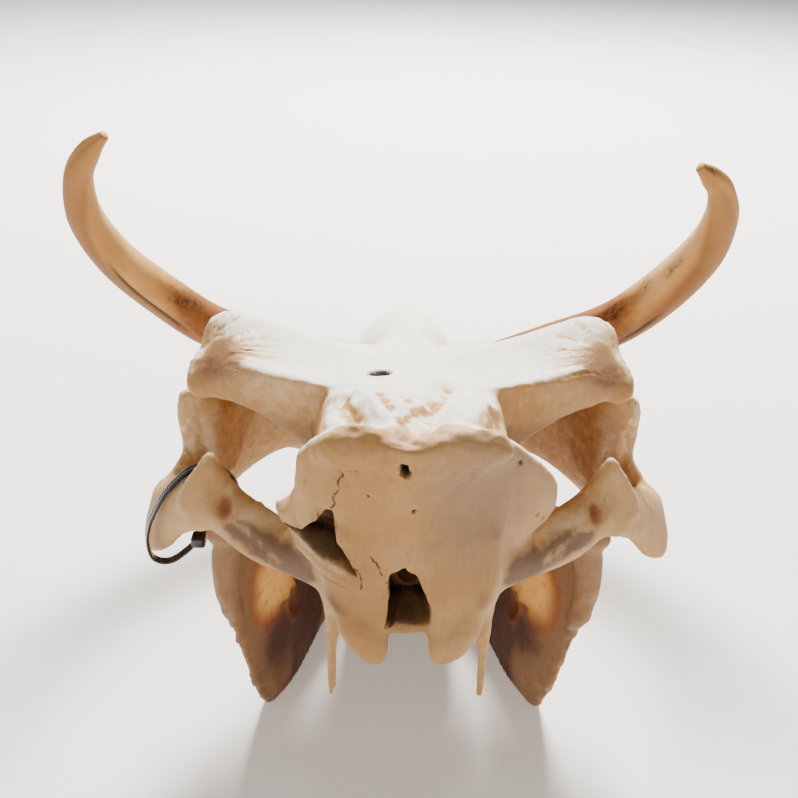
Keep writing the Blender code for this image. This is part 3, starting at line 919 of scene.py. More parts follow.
@dataclass
class Cranium:
    """Upper skull: broken opening at the back, cracked occiput, scarred crest, pitted roof.

    Pits are seen from behind, the slit, the roof lines and the strokes from above. A line stands
    with its half width and its height, or the darkness of its painted shade for a stroke.
    """

    voxel: float = 2.2
    foramen_fill: Outline = ((-12, -2), (-12, 15), (-7, 28), (6, 28), (13, 15), (13, -2))
    foramen: Outline = (
        (-8.9, 15.9), (-7.8, 21.2), (-4.9, 22.4), (-2.3, 24.5), (-1.2, 21.7), (2.2, 19.5), (4.4, 13.4),
        (7.0, 6.9), (8.9, 1.7), (8.2, -5.5), (6.2, -8.6),
        (-7.7, -8.9), (-10.0, -6.2), (-8.9, 1.1), (-8.2, 8.3),
    )
    wing_break: Outline = (
        (-56, 31.6), (-49, 30.7), (-43, 32.2), (-41.3, 33.6), (-37, 39.5), (-29.2, 49.5), (-28.8, 44),
        (-27.6, 36), (-24, 29.5), (-19.5, 20), (-21, 21), (-26, 25), (-32, 27.4), (-37, 28.6), (-41, 29.4),
        (-45, 28.9), (-56, 29.3),
    )
    break_floor: Outline = ellipse(-28, 33, 8, 12)
    rear_slope: float = 0.95        # how fast the break's floor runs forward towards the left
    slope_from: float = -28
    flange: tuple[Triple, ...] = (
        (-46.5, 10, 25.4), (-42.5, 6, 25.6), (-38, 0.6, 25), (-33.5, -4.6, 24), (-28.5, -7.8, 22.2),
        (-24.5, -8.8, 20.2), (-20.5, -8.6, 16),
    )
    web: Outline = ((91, 86.5), (87, 87.2), (82, 106), (81.4, 112), (82, 118), (88, 122))
    pits: tuple[Pit, ...] = (
        Pit((-3.8, 74.3), (1.4, 1.9), 4.5), Pit((-2.9, 71.6), (1.7, 2.2), 5.0),
        Pit((0.2, 52.2), (0.6, 0.9), 1.4), Pit((-15.7, 58.7), (0.5, 0.5), 1.0),
        Pit((47.8, 38.2), (0.7, 0.8), 1.2), Pit((50.5, 34.5), (0.6, 0.7), 1.2),
        Pit((37.8, 67.5), (0.6, 0.8), 1.0), Pit((-39, 58), (0.5, 0.6), 0.8),
    )
    slit: Pit = Pit((-13.4, 67.0), (4.6, 8.0), 4.5)
    roof_lines: tuple[tuple[Outline, float, float], ...] = (
        (((-1, -14), (5, 2), (9, 22), (14, 44)), 5.0, -4.2),
        (((-1, -14), (-9, 4), (-22, 30), (-40, 52)), 3.4, 1.7),
        (((2, -14), (15, -2), (27, 20), (42, 48)), 3.6, 2.0),
        (((-16, -6), (-24, 8), (-29, 24)), 3.6, -2.0),
        (((20, -10), (30, 4), (35, 20)), 4.0, -1.4),
    )
    # Strokes: shallow hollows behind the crest, painted in shade.
    strokes: tuple[tuple[Outline, float, float], ...] = (
        (((-27, 28), (-25, 16), (-22, 7)), 2.8, 0.8),
        (((-13, 27), (-9, 14), (-5, 3)), 2.6, 0.9),
        (((-4, 24), (1, 14), (-2, 4), (-4, -3)), 3.0, 1.0),
        (((9, 26), (3, 9)), 2.6, 0.6),
        (((28, 27), (33, 14), (28, 3)), 3.4, 0.7),
    )
    brow_end: tuple[float, float] = (88, 77)                        # where the fan's grooves meet
    # bar_line: the course of the painted shadow along the bars.
    bar_line: tuple[Triple, ...] = ((72, 27, 14), (59, 15, 14), (45, 3, 13))
    nose_at: Triple = (0, 370, -47)
    nose_size: Triple = (18, 28, 13)
    dish: Spot = Spot((24, -10, 52), (16, 20, 20), 1.3)             # hollow right of the middle
    scarred_lip: Spot = Spot((-22, -12, 68), (18, 6, 7), 1.1)
    rugged: tuple[Spot, ...] = (Spot((-23, 22, 80), (12, 24, 14)), Spot((24, 16, 80), (10, 22, 14), 0.6))
    ear_hollow: Spot = Spot((61, 19, 13), (14, 12, 5), 1.6)
    wing_tip: Spot = Spot((-52, 14, 42), (12, 16, 16))
    wing_shift: Triple = (3, 0, -3)
    # knob: the brows' outer ends, painted in shade; brow_back: painted bounce light; bar_top: painted
    # sunlight on the bars.
    knob: Spot = Spot((82, 77, 67), (13, 12, 12))
    brow_back: Spot = Spot((52, 62, 66), (26, 14, 22))
    bar_top: Spot = Spot((60, 28, 21), (16, 8, 6), 0.4)
    grey_right: Spot = Spot((24, -8, 56), (22, 30, 30), 1.3)
    grey_left: Spot = Spot((-30, -3, 12), (12, 16, 16), 0.5)
    # bar_middle and lower_bar deepen the painted shadow on the bars.
    bar_middle: Spot = Spot((-64, 20, 14), (9, 9, 7), 0.5)
    lower_bar: Spot = Spot((44, 4, 12), (9, 16, 12), 0.4)
    blots: tuple[Spot, ...] = (
        Spot((-30, -7, 8), (4, 6, 6), 0.5), Spot((27, -8, 9), (3.5, 6, 7), 0.5),
        Spot((-26, -8, 3), (4, 6, 4), 0.5),
    )
    break_shade: Spot = Spot((-33, 3, 33), (12, 15, 12))
    wing_rim: Spot = Spot((58, 4, 52), (12, 16, 40))
    ears: tuple[Spot, ...] = (
        Spot((-76.4, 37, 18.6), (4.14, 7, 5.76)), Spot((77.2, 37, 17.8), (2.76, 7, 3.84)),
    )

    def build(self) -> Object:
        """Carves and paints the cranium.

        Returns:
            The finished piece.
        """
        floor = jagged_plug("break_fill", self.break_floor, reach=(-7.9, 9), rough=0.1, seed=4)
        shape = positions(floor)
        shape[:, 1] += self.rear_slope * np.maximum(self.slope_from - shape[:, 0], 0)
        place(floor, shape)
        fills = [
            jagged_plug("foramen_fill", self.foramen_fill, reach=(-5.5, 4), rough=0.1, seed=3),
            floor,
            ledge_body("flange", self.flange, high=3.3, thick=2.4),
            *(self.post(side) for side in Side),
        ]
        piece = refined_copy("cranium", "cranium_bone", self.voxel, fills)
        holes = [
            jagged_plug("foramen", self.foramen, reach=(-30, 22), rough=0.5, seed=5),
            jagged_plug("wing_break", self.wing_break, reach=(-24, 15), rough=0.5, seed=9),
        ]
        combine(piece, holes, "DIFFERENCE")
        triangulate(piece)
        x, y, z = positions(piece).T
        nape = ramp(y, -1, -4) * ramp(z, 36, 44) * ramp(z, 72, 66) * ramp(np.abs(x), 50, 42)
        relax(piece, nape, passes=30)
        back = (y < 32) & (z > -34) & (np.abs(x) < 66)
        roof = (y < 86) & (z > 52) & (np.abs(x) < 100)
        refine(piece, back | roof)
        self.carve(piece)
        self.paint(piece)
        piece.data.shade_smooth()
        piece.data.set_sharp_from_angle(angle=math.radians(SHARP_EDGE))
        piece.data.materials.append(CRANIUM_BONE.material())
        return piece

    def post(self, side: Side) -> Object:
        """Makes the web of bone between the post behind an eye and the cheekbone.

        Args:
            side: The eye's side.

        Returns:
            The web, whose top slopes down forwards.
        """
        body = jagged_plug("post", self.web, reach=(-50, 4), rough=0.1, seed=8)
        shape = positions(body)[:, [0, 2, 1]] * (1, 1, -1)
        slope = 50 - 0.7 * (shape[:, 1] - 88)
        shape[:, 2] = np.where(shape[:, 2] > 20, np.minimum(shape[:, 2], slope), shape[:, 2])
        place(body, shape * (side.value, 1, 1))
        if side is Side.LEFT:
            body.data.flip_normals()
        return body

    def roof_shade(self, points: Array) -> Array:
        """How dark each point is under the painted shade of the strokes behind the crest.

        Args:
            points: Points in millimetres.

        Returns:
            One number for each point: 0 away from the strokes.
        """
        above = points[:, :2]
        shade = sum(dark * bell(line_distance(above, line), wide) for line, wide, dark in self.strokes)
        return ramp(points[:, 2], 62, 74) * shade

    def in_slit(self, points: Array) -> Array:
        """1 in the slit of the roof and 0 outside it."""
        return self.slit.share(points[:, :2]) * (points[:, 2] > 50)

    def fan(self, points: Array) -> tuple[Array, Array]:
        """Grooves that fan out from each brow's outer end: their noise, and where they lie.

        Args:
            points: Points in millimetres.

        Returns:
            The noise and the grooves' share at each point.
        """
        x, y, _ = points.T
        inward, forward = self.brow_end[0] - np.abs(x), y - self.brow_end[1]
        reach = np.hypot(inward, forward)
        spokes = np.stack([np.arctan2(forward, inward) * 30, reach / 16, np.sign(x) * 50], axis=1)
        return fractal(spokes, 1.5, 2, 23), ramp(reach, 7, 14) * ramp(reach, 44, 16) * (np.abs(x) > 30)

    def carve(self, piece: Object) -> None:
        """Moves the surface in and out along its normals, and the left wing's tip as a whole.

        Formula: broad noise, plus upright muscle scars under the crest, plus a rough crest, plus
        rugged bone and long ridges on the braincase's roof, plus grooves that fan out from each
        brow's end, less the dish, the hollow under each ear, the pits, the slit and the strokes.

        Args:
            piece: The even copy of the cranium.
        """
        s = Surface(piece)
        points = s.points
        _, y, z = points.T
        behind = ramp(s.back, 0.05, 0.5) * ramp(y, 30, 16)
        relief = 0.3 * fractal(points, 16, 4, 1) + 0.08 * fractal(points, 3.5, 2, 7)
        upright = noise(points * (1, 1, 0.25), 3.0, 11) * ramp(z, 52, 72)
        relief += behind * (0.3 * upright - self.dish.over(points))
        crest = bell(y + 14, 7) * ramp(z, 60, 74)
        relief += crest * (0.6 * fractal(points, 9, 3, 15) + 0.5 * fractal(points, 4, 3, 17))
        relief += self.scarred_lip.over(points) * fractal(points, 5, 3, 25)
        ridges = 1 - 2.6 * np.abs(fractal(points * (1, 0.6, 1), 10, 3, 19))
        relief += 1.3 * ridges * sum(spot.over(points) for spot in self.rugged)
        top = ramp(z, 62, 74) * ramp(s.up, 0.2, 0.7)
        for line, wide, rise in self.roof_lines:
            relief += top * rise * bell(line_distance(points[:, :2], line), wide)
        scars, zone = self.fan(points)
        relief += 0.55 * scars * zone * ramp(s.up, 0.3, 0.7)
        relief -= self.ear_hollow.over(s.side) * ramp(s.back, -0.2, 0.5)
        for pit in self.pits:
            relief -= behind * pit.depth * pit.share(points[:, [0, 2]])
        relief -= self.slit.depth * self.in_slit(points) + 1.5 * self.roof_shade(points)
        moved = points + s.facing * relief[:, None]
        place(piece, moved + self.wing_tip.over(points)[:, None] * self.wing_shift)

    def paint(self, piece: Object) -> None:
        """Paints sunlight and bleaching, grey bone, dirt with painted shade, warm brown bone, red ear pits,
        and painted shade in the holes.

        Args:
            piece: The carved cranium.
        """
        masks = CraniumMasks(self, piece)
        paint(piece, "behind", ramp(masks.points[:, 1], 12, 2))
        paint(piece, "bleach", masks.bleach())
        paint(piece, "grey", masks.grey())
        paint(piece, "grime", masks.grime())
        paint(piece, "dark", masks.dark())
        paint(piece, "rim", masks.rim())
        paint(piece, "amber", 0.8 * ramp(sum(ear.over(masks.points) for ear in self.ears), 0.25, 0.75))


class CraniumMasks(Surface):
    """Where the parts of the carved cranium lie, from 0 to 1, and the numbers painted by them."""

    def __init__(self, form: Cranium, piece: Object) -> None:
        """Works out the masks that the painted numbers share, from the form and its carved piece.

        Args:
            form: The cranium's form.
            piece: Its carved piece.
        """
        super().__init__(piece)
        self.form = form
        points = self.points
        x, y, z = points.T
        self.groove = hollowness(piece, 4)
        self.hollow = hollowness(piece, 24)
        self.behind = ramp(self.back, 0.0, 0.4) * ramp(y, 40, 20)
        self.scars, self.zone = form.fan(points)
        self.knob = ramp(form.knob.over(self.side), 0.2, 0.7)
        # Painted sunlight and bleaching on upward faces high up, fading out behind the crest.
        upward = ramp(self.up - 0.4 * self.back, 0.2, 0.95) * (1 - 0.85 * ramp(y, -2, -10))
        self.sunny = upward * ramp(z + 0.5 * np.maximum(y - 40, 0), 44, 62)
        # The strokes' painted shade, mottled.
        self.brown = form.roof_shade(points) * (0.8 + 1.6 * fractal(points, 2.6, 3, 51))
        fossa = ramp(z, 52, 24) * ramp(y, 40, 56) * ramp(self.back, -0.3, 0.2)
        self.fossa = fossa * ramp(np.abs(x), 34, 48) * ramp(np.abs(x), 98, 93)
        ledge = np.array(form.flange)
        self.above_ledge = z - np.interp(x, ledge[:, 0], ledge[:, 2])
        self.before_ledge = y - np.interp(x, ledge[:, 0], ledge[:, 1])
        self.on_ledge = ramp(self.before_ledge, 1.5, 0) * ramp(x, -49, -46) * ramp(x, -20, -24)

    def bleach(self) -> Array:
        """Painted sunlight and bleaching: the roof less its painted shade, painted highlights on the arches'
        edges, the ledge and the walls' lower edges, bounce light on the brows' backs, sunlit bar tops, and
        lighter temporal walls.

        Returns:
            One number for each vertex.
        """
        x, y, z = self.points.T
        wide = np.abs(x)
        # Painted shade: hollows and grooves, the brows' knobs and the fan's grooves are kept out of the
        # painted sunlight.
        shade = 0.6 * ramp(self.hollow, 0.2, 1.6) + 0.5 * ramp(self.groove, 0.04, 0.3)
        roof = self.sunny - shade * (y < 62) - 1.1 * self.knob - 0.9 * self.zone * ramp(self.scars, 0.1, -0.4)
        # Painted highlight along the arches' outer edges; the strokes' painted shade is taken off.
        roof += 0.3 * ramp(wide, 95, 100) * ramp(z, -10, 20) * ramp(y, 60, 80) - 0.7 * self.brown
        # Painted bounce light on the brows' backs, stronger on the left.
        brow_back = self.form.brow_back.over(self.side) * ramp(self.back, 0.2, 0.7) * (0.1 + 0.2 * (x < 0))
        # Painted sunlight on the upward faces of the bars; the temporal walls are made lighter, more on the
        # left.
        tops = 0.4 * ramp(self.up, 0.2, 0.9) * ramp(z, 18, 32) * ramp(z, 50, 40)
        tops += self.form.bar_top.over(self.side) + self.fossa * (0.14 + 0.14 * ramp(x, 10, -10))
        # Painted highlight along the ledge's upper edge.
        tops += 0.24 * self.on_ledge * bell(self.above_ledge - 2.4, 1.3)
        # Painted highlight along the lower edges of the walls under the arches.
        tops += 0.5 * ramp(z, -22, -34) * ramp(y, 96, 106) * ramp(y, 160, 140) * (wide > 66)
        return np.maximum.reduce([roof, brow_back, tops])

    def grey(self) -> Array:
        """Grey bone: the occiput's right half, a patch on its left, and the temporal walls.

        Returns:
            One number for each vertex.
        """
        points = self.points
        waved = points[:, 0] + 4 * fractal(points, 20, 3, 33)
        right = self.form.grey_right.over(points) * ramp(waved, -2, 12)
        walls = self.fossa * (0.75 + 0.9 * fractal(points, 12, 4, 53))
        return self.behind * (right + self.form.grey_left.over(points)) + walls

    def grime(self) -> Array:
        """Dirt and painted shade: blots, painted shadow along the bars, and painted shade in the grooves and
        hollows, on the knobs' scars, under the crest's lip and under the ledge, and in the strokes, less
        where sunlit.

        Returns:
            One number for each vertex.
        """
        points, form = self.points, self.form
        x, y, z = points.T
        wide = np.abs(x)
        # Painted shadow along the bars, mottled along their length.
        lengthwise = np.stack([wide - 0.9 * y, z * 3, wide * 0.4 + 0.3 * y], axis=1)
        grain = 1 + 0.65 * fractal(lengthwise, 12, 4, 39) + 0.4 * fractal(points, 5, 3, 57)
        bar = 1.045 * ramp(bell(line_distance(self.side, form.bar_line), 8) * grain, 0.0, 1.2)
        grime = bar * (1 + form.bar_middle.over(points)) + form.lower_bar.over(self.side)
        grime += sum(blot.over(points) for blot in form.blots)
        # Painted shade under the crest's lip.
        grime += 0.25 * ramp(y, -5, -10) * ramp(z, 56, 64) * ramp(self.up, 0.85, 0.5)
        # Painted shadow under the ledge.
        grime += 0.5 * self.on_ledge * bell(self.above_ledge + 4.2, 1.4)
        # Painted shade in the fan's grooves on the knobs, and the strokes' painted shade.
        grime += 0.5 * self.knob * ramp(self.scars, 0.2, -0.3) + 0.28 * self.brown
        # Painted shade in grooves and hollows, outside the temporal walls.
        grime += 0.5 * ramp(self.groove, 0.06, 0.4) + 0.35 * ramp(self.hollow, 0.5, 2.4) * (1 - self.fossa)
        # All of it weaker where painted sunlight falls.
        return grime * (1 - 0.8 * self.sunny)

    def dark(self) -> Array:
        """Darkness as painted shade: the nose opening, the foramen, the break in the wing, the pits and the
        slit.

        Returns:
            One number for each vertex.
        """
        points, form = self.points, self.form
        x, y, z = points.T
        nose = np.linalg.norm((points - form.nose_at) / np.array(form.nose_size), axis=1)
        # Painted shade inside the foramen, strongest on upward faces further in.
        inside = ramp(y, -6, 1) * (np.hypot(x / 13, (z - 6) / 25) < 1) * (y < 60)
        inside *= 0.25 + 0.43 * ramp(self.up, 0.1, 0.6) * ramp(y, -3, 2)
        # Painted shade in the break, above and behind the ledge.
        over = np.maximum(ramp(self.above_ledge, 2.4, 3.2), ramp(self.before_ledge, 1.5, 3.0))
        hole = over * ramp(y, -7.4, -6.0) * ramp(form.break_shade.over(points), 0.2, 0.45)
        hole *= (0.3 + 0.42 * ramp(self.up, 0.0, 0.4)) * (self.back < 0.75)
        dots = self.behind * sum(pit.share(points[:, [0, 2]]) for pit in form.pits)
        slit = ramp(form.in_slit(points), 0.0, 0.3)
        return np.maximum.reduce([0.9 * ramp(nose, 1.1, 0.96), inside, hole, dots, slit])

    def rim(self) -> Array:
        """Warm brown bone: the wings' edges and the right temporal wall, and painted shade on the brows'
        knobs.

        Returns:
            One number for each vertex.
        """
        edge = ramp(self.form.wing_rim.over(self.side) + 0.2 * fractal(self.points, 8, 3, 43), 0.45, 0.9)
        wall = 0.3 * self.fossa * ramp(self.points[:, 0], -20, 20)
        # The knobs' share is painted shade.
        return wall + 0.6 * self.behind * edge + 0.95 * self.knob


@dataclass
class Mandible:
    """Lower jaw: plates darker on their inner faces, with painted shade and a painted amber glow of sun
    shining through thin parts, and a ringed nerve opening.
    """

    voxel: float = 1.5
    opening: tuple[float, float] = (98.5, -83.0)        # Y and Z of the nerve opening
    opening_shape: float = 1.9                          # its height over its length
    panel: Spot = Spot((0.0, 90.0, -58.0), (1000.0, 27.0, 28.0))
    ridge: Outline = ((97, -94), (88, -108), (82, -124))
    plate_dish: Spot = Spot((62, 92, -108), (20, 5, 16), 0.8)
    dark_plate_patch: Spot = Spot((62, 86, -98), (20, 16, 14), 0.9)
    tips: tuple[Spot, ...] = (
        Spot((69, 76, -122), (16, 16, 22), 1.4), Spot((-69, 76, -124), (12, 14, 12), 0.2),
    )
    rear_edge: Outline = ((3, 46), (40, 48), (80, 57), (138, 77))     # depth below 0, and Y
    strip_width: Outline = ((0, 42), (30, 30), (60, 21), (90, 13), (115, 9), (135, 7))
    floor_band: tuple[float, float] = (-136.0, -133.0)  # heights between which the relief sets in

    def build(self) -> Object:
        """Carves and paints the lower jaw.

        Returns:
            The finished piece.
        """
        piece = refined_copy("mandible", "jaw_bone", self.voxel, [])
        even = JawSurface(self, piece)
        place(piece, even.points + even.facing * self.relief(even)[:, None])
        self.paint(piece, even)
        piece.data.materials.append(JAW_BONE.material())
        return piece

    def relief(self, s: "JawSurface") -> Array:
        """Height of the carved surface over the even one.

        Formula: broad noise, plus a ring round the nerve opening with a pit inside it, plus a
        ridge below it and less a dish, both on the plates' inner faces, plus a ragged rear
        border. All of it fades out towards the floor.

        Args:
            s: The even surface.

        Returns:
            Millimetres outwards at each vertex.
        """
        points = s.points
        ring = 2.0 * bell(s.radius - 5.4, 1.5) - 2.2 * bell(s.radius, 3.4)
        ridge = bell(line_distance(points[:, [1, 2]], self.ridge), 5)
        relief = 0.4 * fractal(points, 14, 4, 21) + 0.1 * fractal(points, 3, 2, 27)
        relief += s.on_plate * (ring + ridge - self.plate_dish.over(s.side))
        relief += 1.7 * ramp(s.back, 0.3, 0.8) * ramp(points[:, 2], -20, -50) * fractal(points, 7, 3, 29)
        return relief * ramp(points[:, 2], *self.floor_band)

    def paint(self, piece: Object, s: "JawSurface") -> None:
        """Paints the pale rear strip, painted sunlight above, darker inner faces with painted shade, a
        painted glow where the sun shines through, and painted shade in the nerve opening.

        Args:
            piece: The carved jaw.
            s: Its surface before it was carved.
        """
        _, y, z = s.points.T
        # Painted sunlight and bleaching on upward faces.
        paint(piece, "bleach", 0.6 * ramp(s.up, 0.3, 0.9))
        from_edge = y - np.interp(-z, *zip(*self.rear_edge)) + 5 * fractal(s.points, 16, 3, 35)
        strip = ramp(np.interp(-z, *zip(*self.strip_width)) - from_edge, -3, 4)
        tips = sum(tip.over(s.points) for tip in self.tips)
        paint(piece, "grey", np.maximum(strip, tips))
        # Painted shade in creases; the plates' inner faces darker, most further forward as painted shade,
        # with a dark patch.
        tint = s.on_plate * (1.3 * ramp(y - 0.2 * z, 112, 130) + self.dark_plate_patch.over(s.side) + 0.15)
        paint(piece, "grime", 0.5 * ramp(hollowness(piece, 4), 0.06, 0.4) + tint * (1 - np.minimum(tips, 1)))
        panel = self.panel.over(s.points * (0, 1, 1)) + 0.07 * fractal(s.points, 18, 2, 31)
        panel -= 0.35 * bell(s.radius - 8, 2.5) * (s.above < 6)
        # Painted glow: amber where sunlight shines through the thin plates, weaker round the nerve opening.
        glow = s.inner * ramp(panel, 0.4, 0.85)
        centre = s.on_plate * bell(s.radius, 2.6)
        paint(piece, "amber", np.maximum(glow * (1 - 0.35 * bell(s.radius - 4, 2.5)), 0.4 * centre))
        paint(piece, "glass", np.maximum(glow, centre))
        # The painted glow's red fringe round the panel, and a red ring round the nerve opening.
        around = 0.8 * s.on_plate * bell(s.radius - 4.5, 3)
        paint(piece, "rim", np.maximum(0.8 * s.inner * ramp(panel, 0.25, 0.55), around))
        # Painted shade inside the lower half of the nerve opening.
        paint(piece, "dark", 0.45 * s.on_plate * bell(s.radius - 2.2, 1.0) * (s.above < 0))


class JawSurface(Surface):
    """The jaw's surface, with its inner faces and each vertex's way from the nerve opening."""

    def __init__(self, form: Mandible, piece: Object) -> None:
        """Measures the even piece by the form's sizes.

        Args:
            form: The jaw's form.
            piece: Its even piece.
        """
        super().__init__(piece)
        x, y, z = self.points.T
        self.inner = ramp(-self.facing[:, 0] * np.sign(x), 0.1, 0.6)
        self.on_plate = self.inner * (y < 130)
        self.above = z - form.opening[1]
        self.radius = np.hypot(y - form.opening[0], self.above / form.opening_shape)


# Tusks, teeth and strap

@dataclass
class Tusk:
    """Round curved tusk with long grooves. A station is x, y, z and the radius.

    Places on it are a share of the way from root to tip and an angle round it: groove_at is the
    main groove's angle, shade_at the shaded lower side's and pale_at the sunlit inner side's. A
    stain is its share of the way, its angle and its width round the tusk.
    """

    name: str
    side: Side
    stations: tuple[tuple[float, float, float, float], ...]
    groove_depth: float = 0.5
    main_groove: float = 0.9
    groove_at: float = 2.0
    groove_width: float = 0.14
    groove_span: tuple[float, float] = (0.42, 0.67)
    shade_at: float = 1.2
    pale_at: float = 3.6
    paleness: float = 0.25
    stains: tuple[Triple, ...] = ()
    stain_length: float = 0.022
    root_until: float = 0.46
    girth: float = 9                # radius at which the noise is wound round, in millimetres
    points: int = 96
    per_span: int = 18

    def build(self) -> Object:
        """Makes the tusk.

        Formula: a circle is carried along the smooth path without twisting. Its radius loses a
        bell-shaped trench at the main groove and a little noise that is long along the tusk.

        Returns:
            The finished piece.
        """
        rows = smooth_rows(np.array(self.stations), self.per_span)
        path = rows[:, :3] * (self.side.value, 1, 1)
        radius = rows[:, 3:]
        along = unit(np.gradient(path, axis=0))
        across = unit(np.cross(along, (0.0, 0.25, 1.0)))
        up = np.cross(along, across)
        angle = full_turn(self.points)
        travel = travelled(path)[:, None]
        share = travel / travel[-1]
        wound = (np.cos(angle) * self.girth, np.sin(angle) * self.girth, travel / self.girth)
        ring = np.stack(np.broadcast_arrays(*wound), axis=-1)
        grain = fractal(ring.reshape(-1, 3), 4.2, 3, 41).reshape(len(rows), -1)
        first, last = self.groove_span
        stretch = ramp(share, first - 0.03, first + 0.04) * ramp(share, last + 0.03, last - 0.06)
        groove = self.around(angle, self.groove_at, self.groove_width) * stretch
        corners = 1 + 0.02 * np.cos(3 * (angle - self.groove_at - 0.4))
        streaks = np.clip(grain, 0, 1) * radius / 14
        body = radius * corners - self.groove_depth * streaks - self.main_groove * groove
        outward = np.cos(angle)[:, None] * across[:, None] + np.sin(angle)[:, None] * up[:, None]
        piece = grid_object(self.name + "_ivory", path[:, None] + body[..., None] * outward)
        dress(piece, self.name)
        self.cap(piece, "groove", groove)
        self.stain(piece, angle, share, grain)
        return piece

    def stain(self, piece: Object, angle: Array, share: Array, grain: Array) -> None:
        """Paints the root, the tip, the stains, and the shaded and sunlit sides.

        Args:
            piece: The tusk.
            angle: Angle of each point round it.
            share: Share of the way of each ring from root to tip.
            grain: Noise that is long along the tusk.
        """
        lifted = 0.07 * self.around(angle, self.pale_at, 0.9)
        root = ramp(lifted - share - 0.02 * grain, -self.root_until - 0.1, -self.root_until + 0.1)
        stain = sum(
            self.around(angle, at, wide) * bell(share - middle, self.stain_length)
            for middle, at, wide in self.stains
        )
        self.cap(piece, "root", root)
        self.cap(piece, "stain", stain + 0.6 * root * ramp(grain, 0.1, 0.6))
        self.cap(piece, "tip", ramp(share, 0.6, 0.85))
        # Painted shade on the lower, outer side.
        below = ramp(np.abs(self.turn(angle, self.shade_at - 0.5)), 1.3, 0.8)
        self.cap(piece, "outer", below * (0.5 + 0.5 * ramp(share, 0.9, 0.65)))
        # Painted sunlight on the inner side.
        light = self.paleness * ramp(share, 0.5, 0.62) * ramp(share, 0.92, 0.8)
        self.cap(piece, "pale", self.around(angle, self.pale_at, 0.65) * light)
        self.cap(piece, "streak", ramp(grain, -0.1, 0.5))

    def turn(self, angle: Array, at: float) -> Array:
        """Angle from a place on the tusk, the short way round."""
        return np.angle(np.exp(1j * (angle - at)))

    def around(self, angle: Array, at: float, wide: float) -> Array:
        """Bell curve round the tusk: 1 at an angle, and narrow where wide is small."""
        return bell(self.turn(angle, at), wide)

    def cap(self, piece: Object, name: str, values: Array) -> None:
        """Paints the rings, and gives both end caps their ring's mean.

        Args:
            piece: The tusk.
            name: Name of the painted number.
            values: Its value for each ring, or for each point of each ring.
        """
        rings = (len(piece.data.vertices) - 2) // self.points
        full = np.broadcast_to(values, (rings, self.points))
        paint(piece, name, np.concatenate([full.ravel(), [full[0].mean(), full[-1].mean()]]))


@dataclass
class CheekTeeth:
    """A row of worn columns: the last molar and the one before it."""

    name: str
    side: Side
    x_rear: float
    x_front: float
    root: float
    crown: float
    first_y: float = 109.9
    last_y: float = 198.1
    columns: int = 8
    half_width: float = 7.0
    points: int = 192
    side_rings: int = 10
    crown_rings: int = 9
    wear: float = 0.9               # depth of the dip in each column's crown
    clearance: float = 0.25         # how far the crown stays short of the opposite row

    def build(self) -> Object:
        """Makes the row.

        Formula: the outline is a long oval whose edge waves in and out once for each column. It
        rises in rings from the root, narrows a little, and closes over the crown in shrinking
        rings whose height has a dip in the middle of every column.

        Returns:
            The finished piece.
        """
        angle = full_turn(self.points)
        length = self.last_y - self.first_y
        along = length / 2 * blunt(np.cos(angle), 0.8)
        wave = 1 - 0.1 * (0.5 + 0.5 * np.cos(along / (length / 2) * math.pi * self.columns))
        across = self.half_width * blunt(np.sin(angle), 0.45) * wave
        climb = np.linspace(0, 1, self.side_rings)
        rise = np.concatenate([climb, np.ones(self.crown_rings)])[:, None]
        shrink = np.concatenate([1 - 0.04 * climb, np.linspace(0.9, 0.04, self.crown_rings)])[:, None]
        y = (self.first_y + self.last_y) / 2 + shrink * along
        t = (y - self.first_y) / length
        x = self.side.value * (self.x_rear + (self.x_front - self.x_rear) * t) + shrink * across
        on_crown = rise == 1
        dip = self.wear * (0.5 + 0.5 * np.cos(2 * math.pi * (t * self.columns - 0.5)))
        drop = dip * on_crown * (shrink < 0.85) + self.clearance * on_crown
        z = self.root + (self.crown - self.root) * rise - np.sign(self.crown - self.root) * drop
        piece = grid_object(self.name + "_enamel", np.stack([x, y, z], axis=-1))
        dress(piece, self.name)
        # Dirt and painted shade in the hollows.
        paint(piece, "groove", ramp(hollowness(piece, 6), 0.03, 0.2))
        return piece


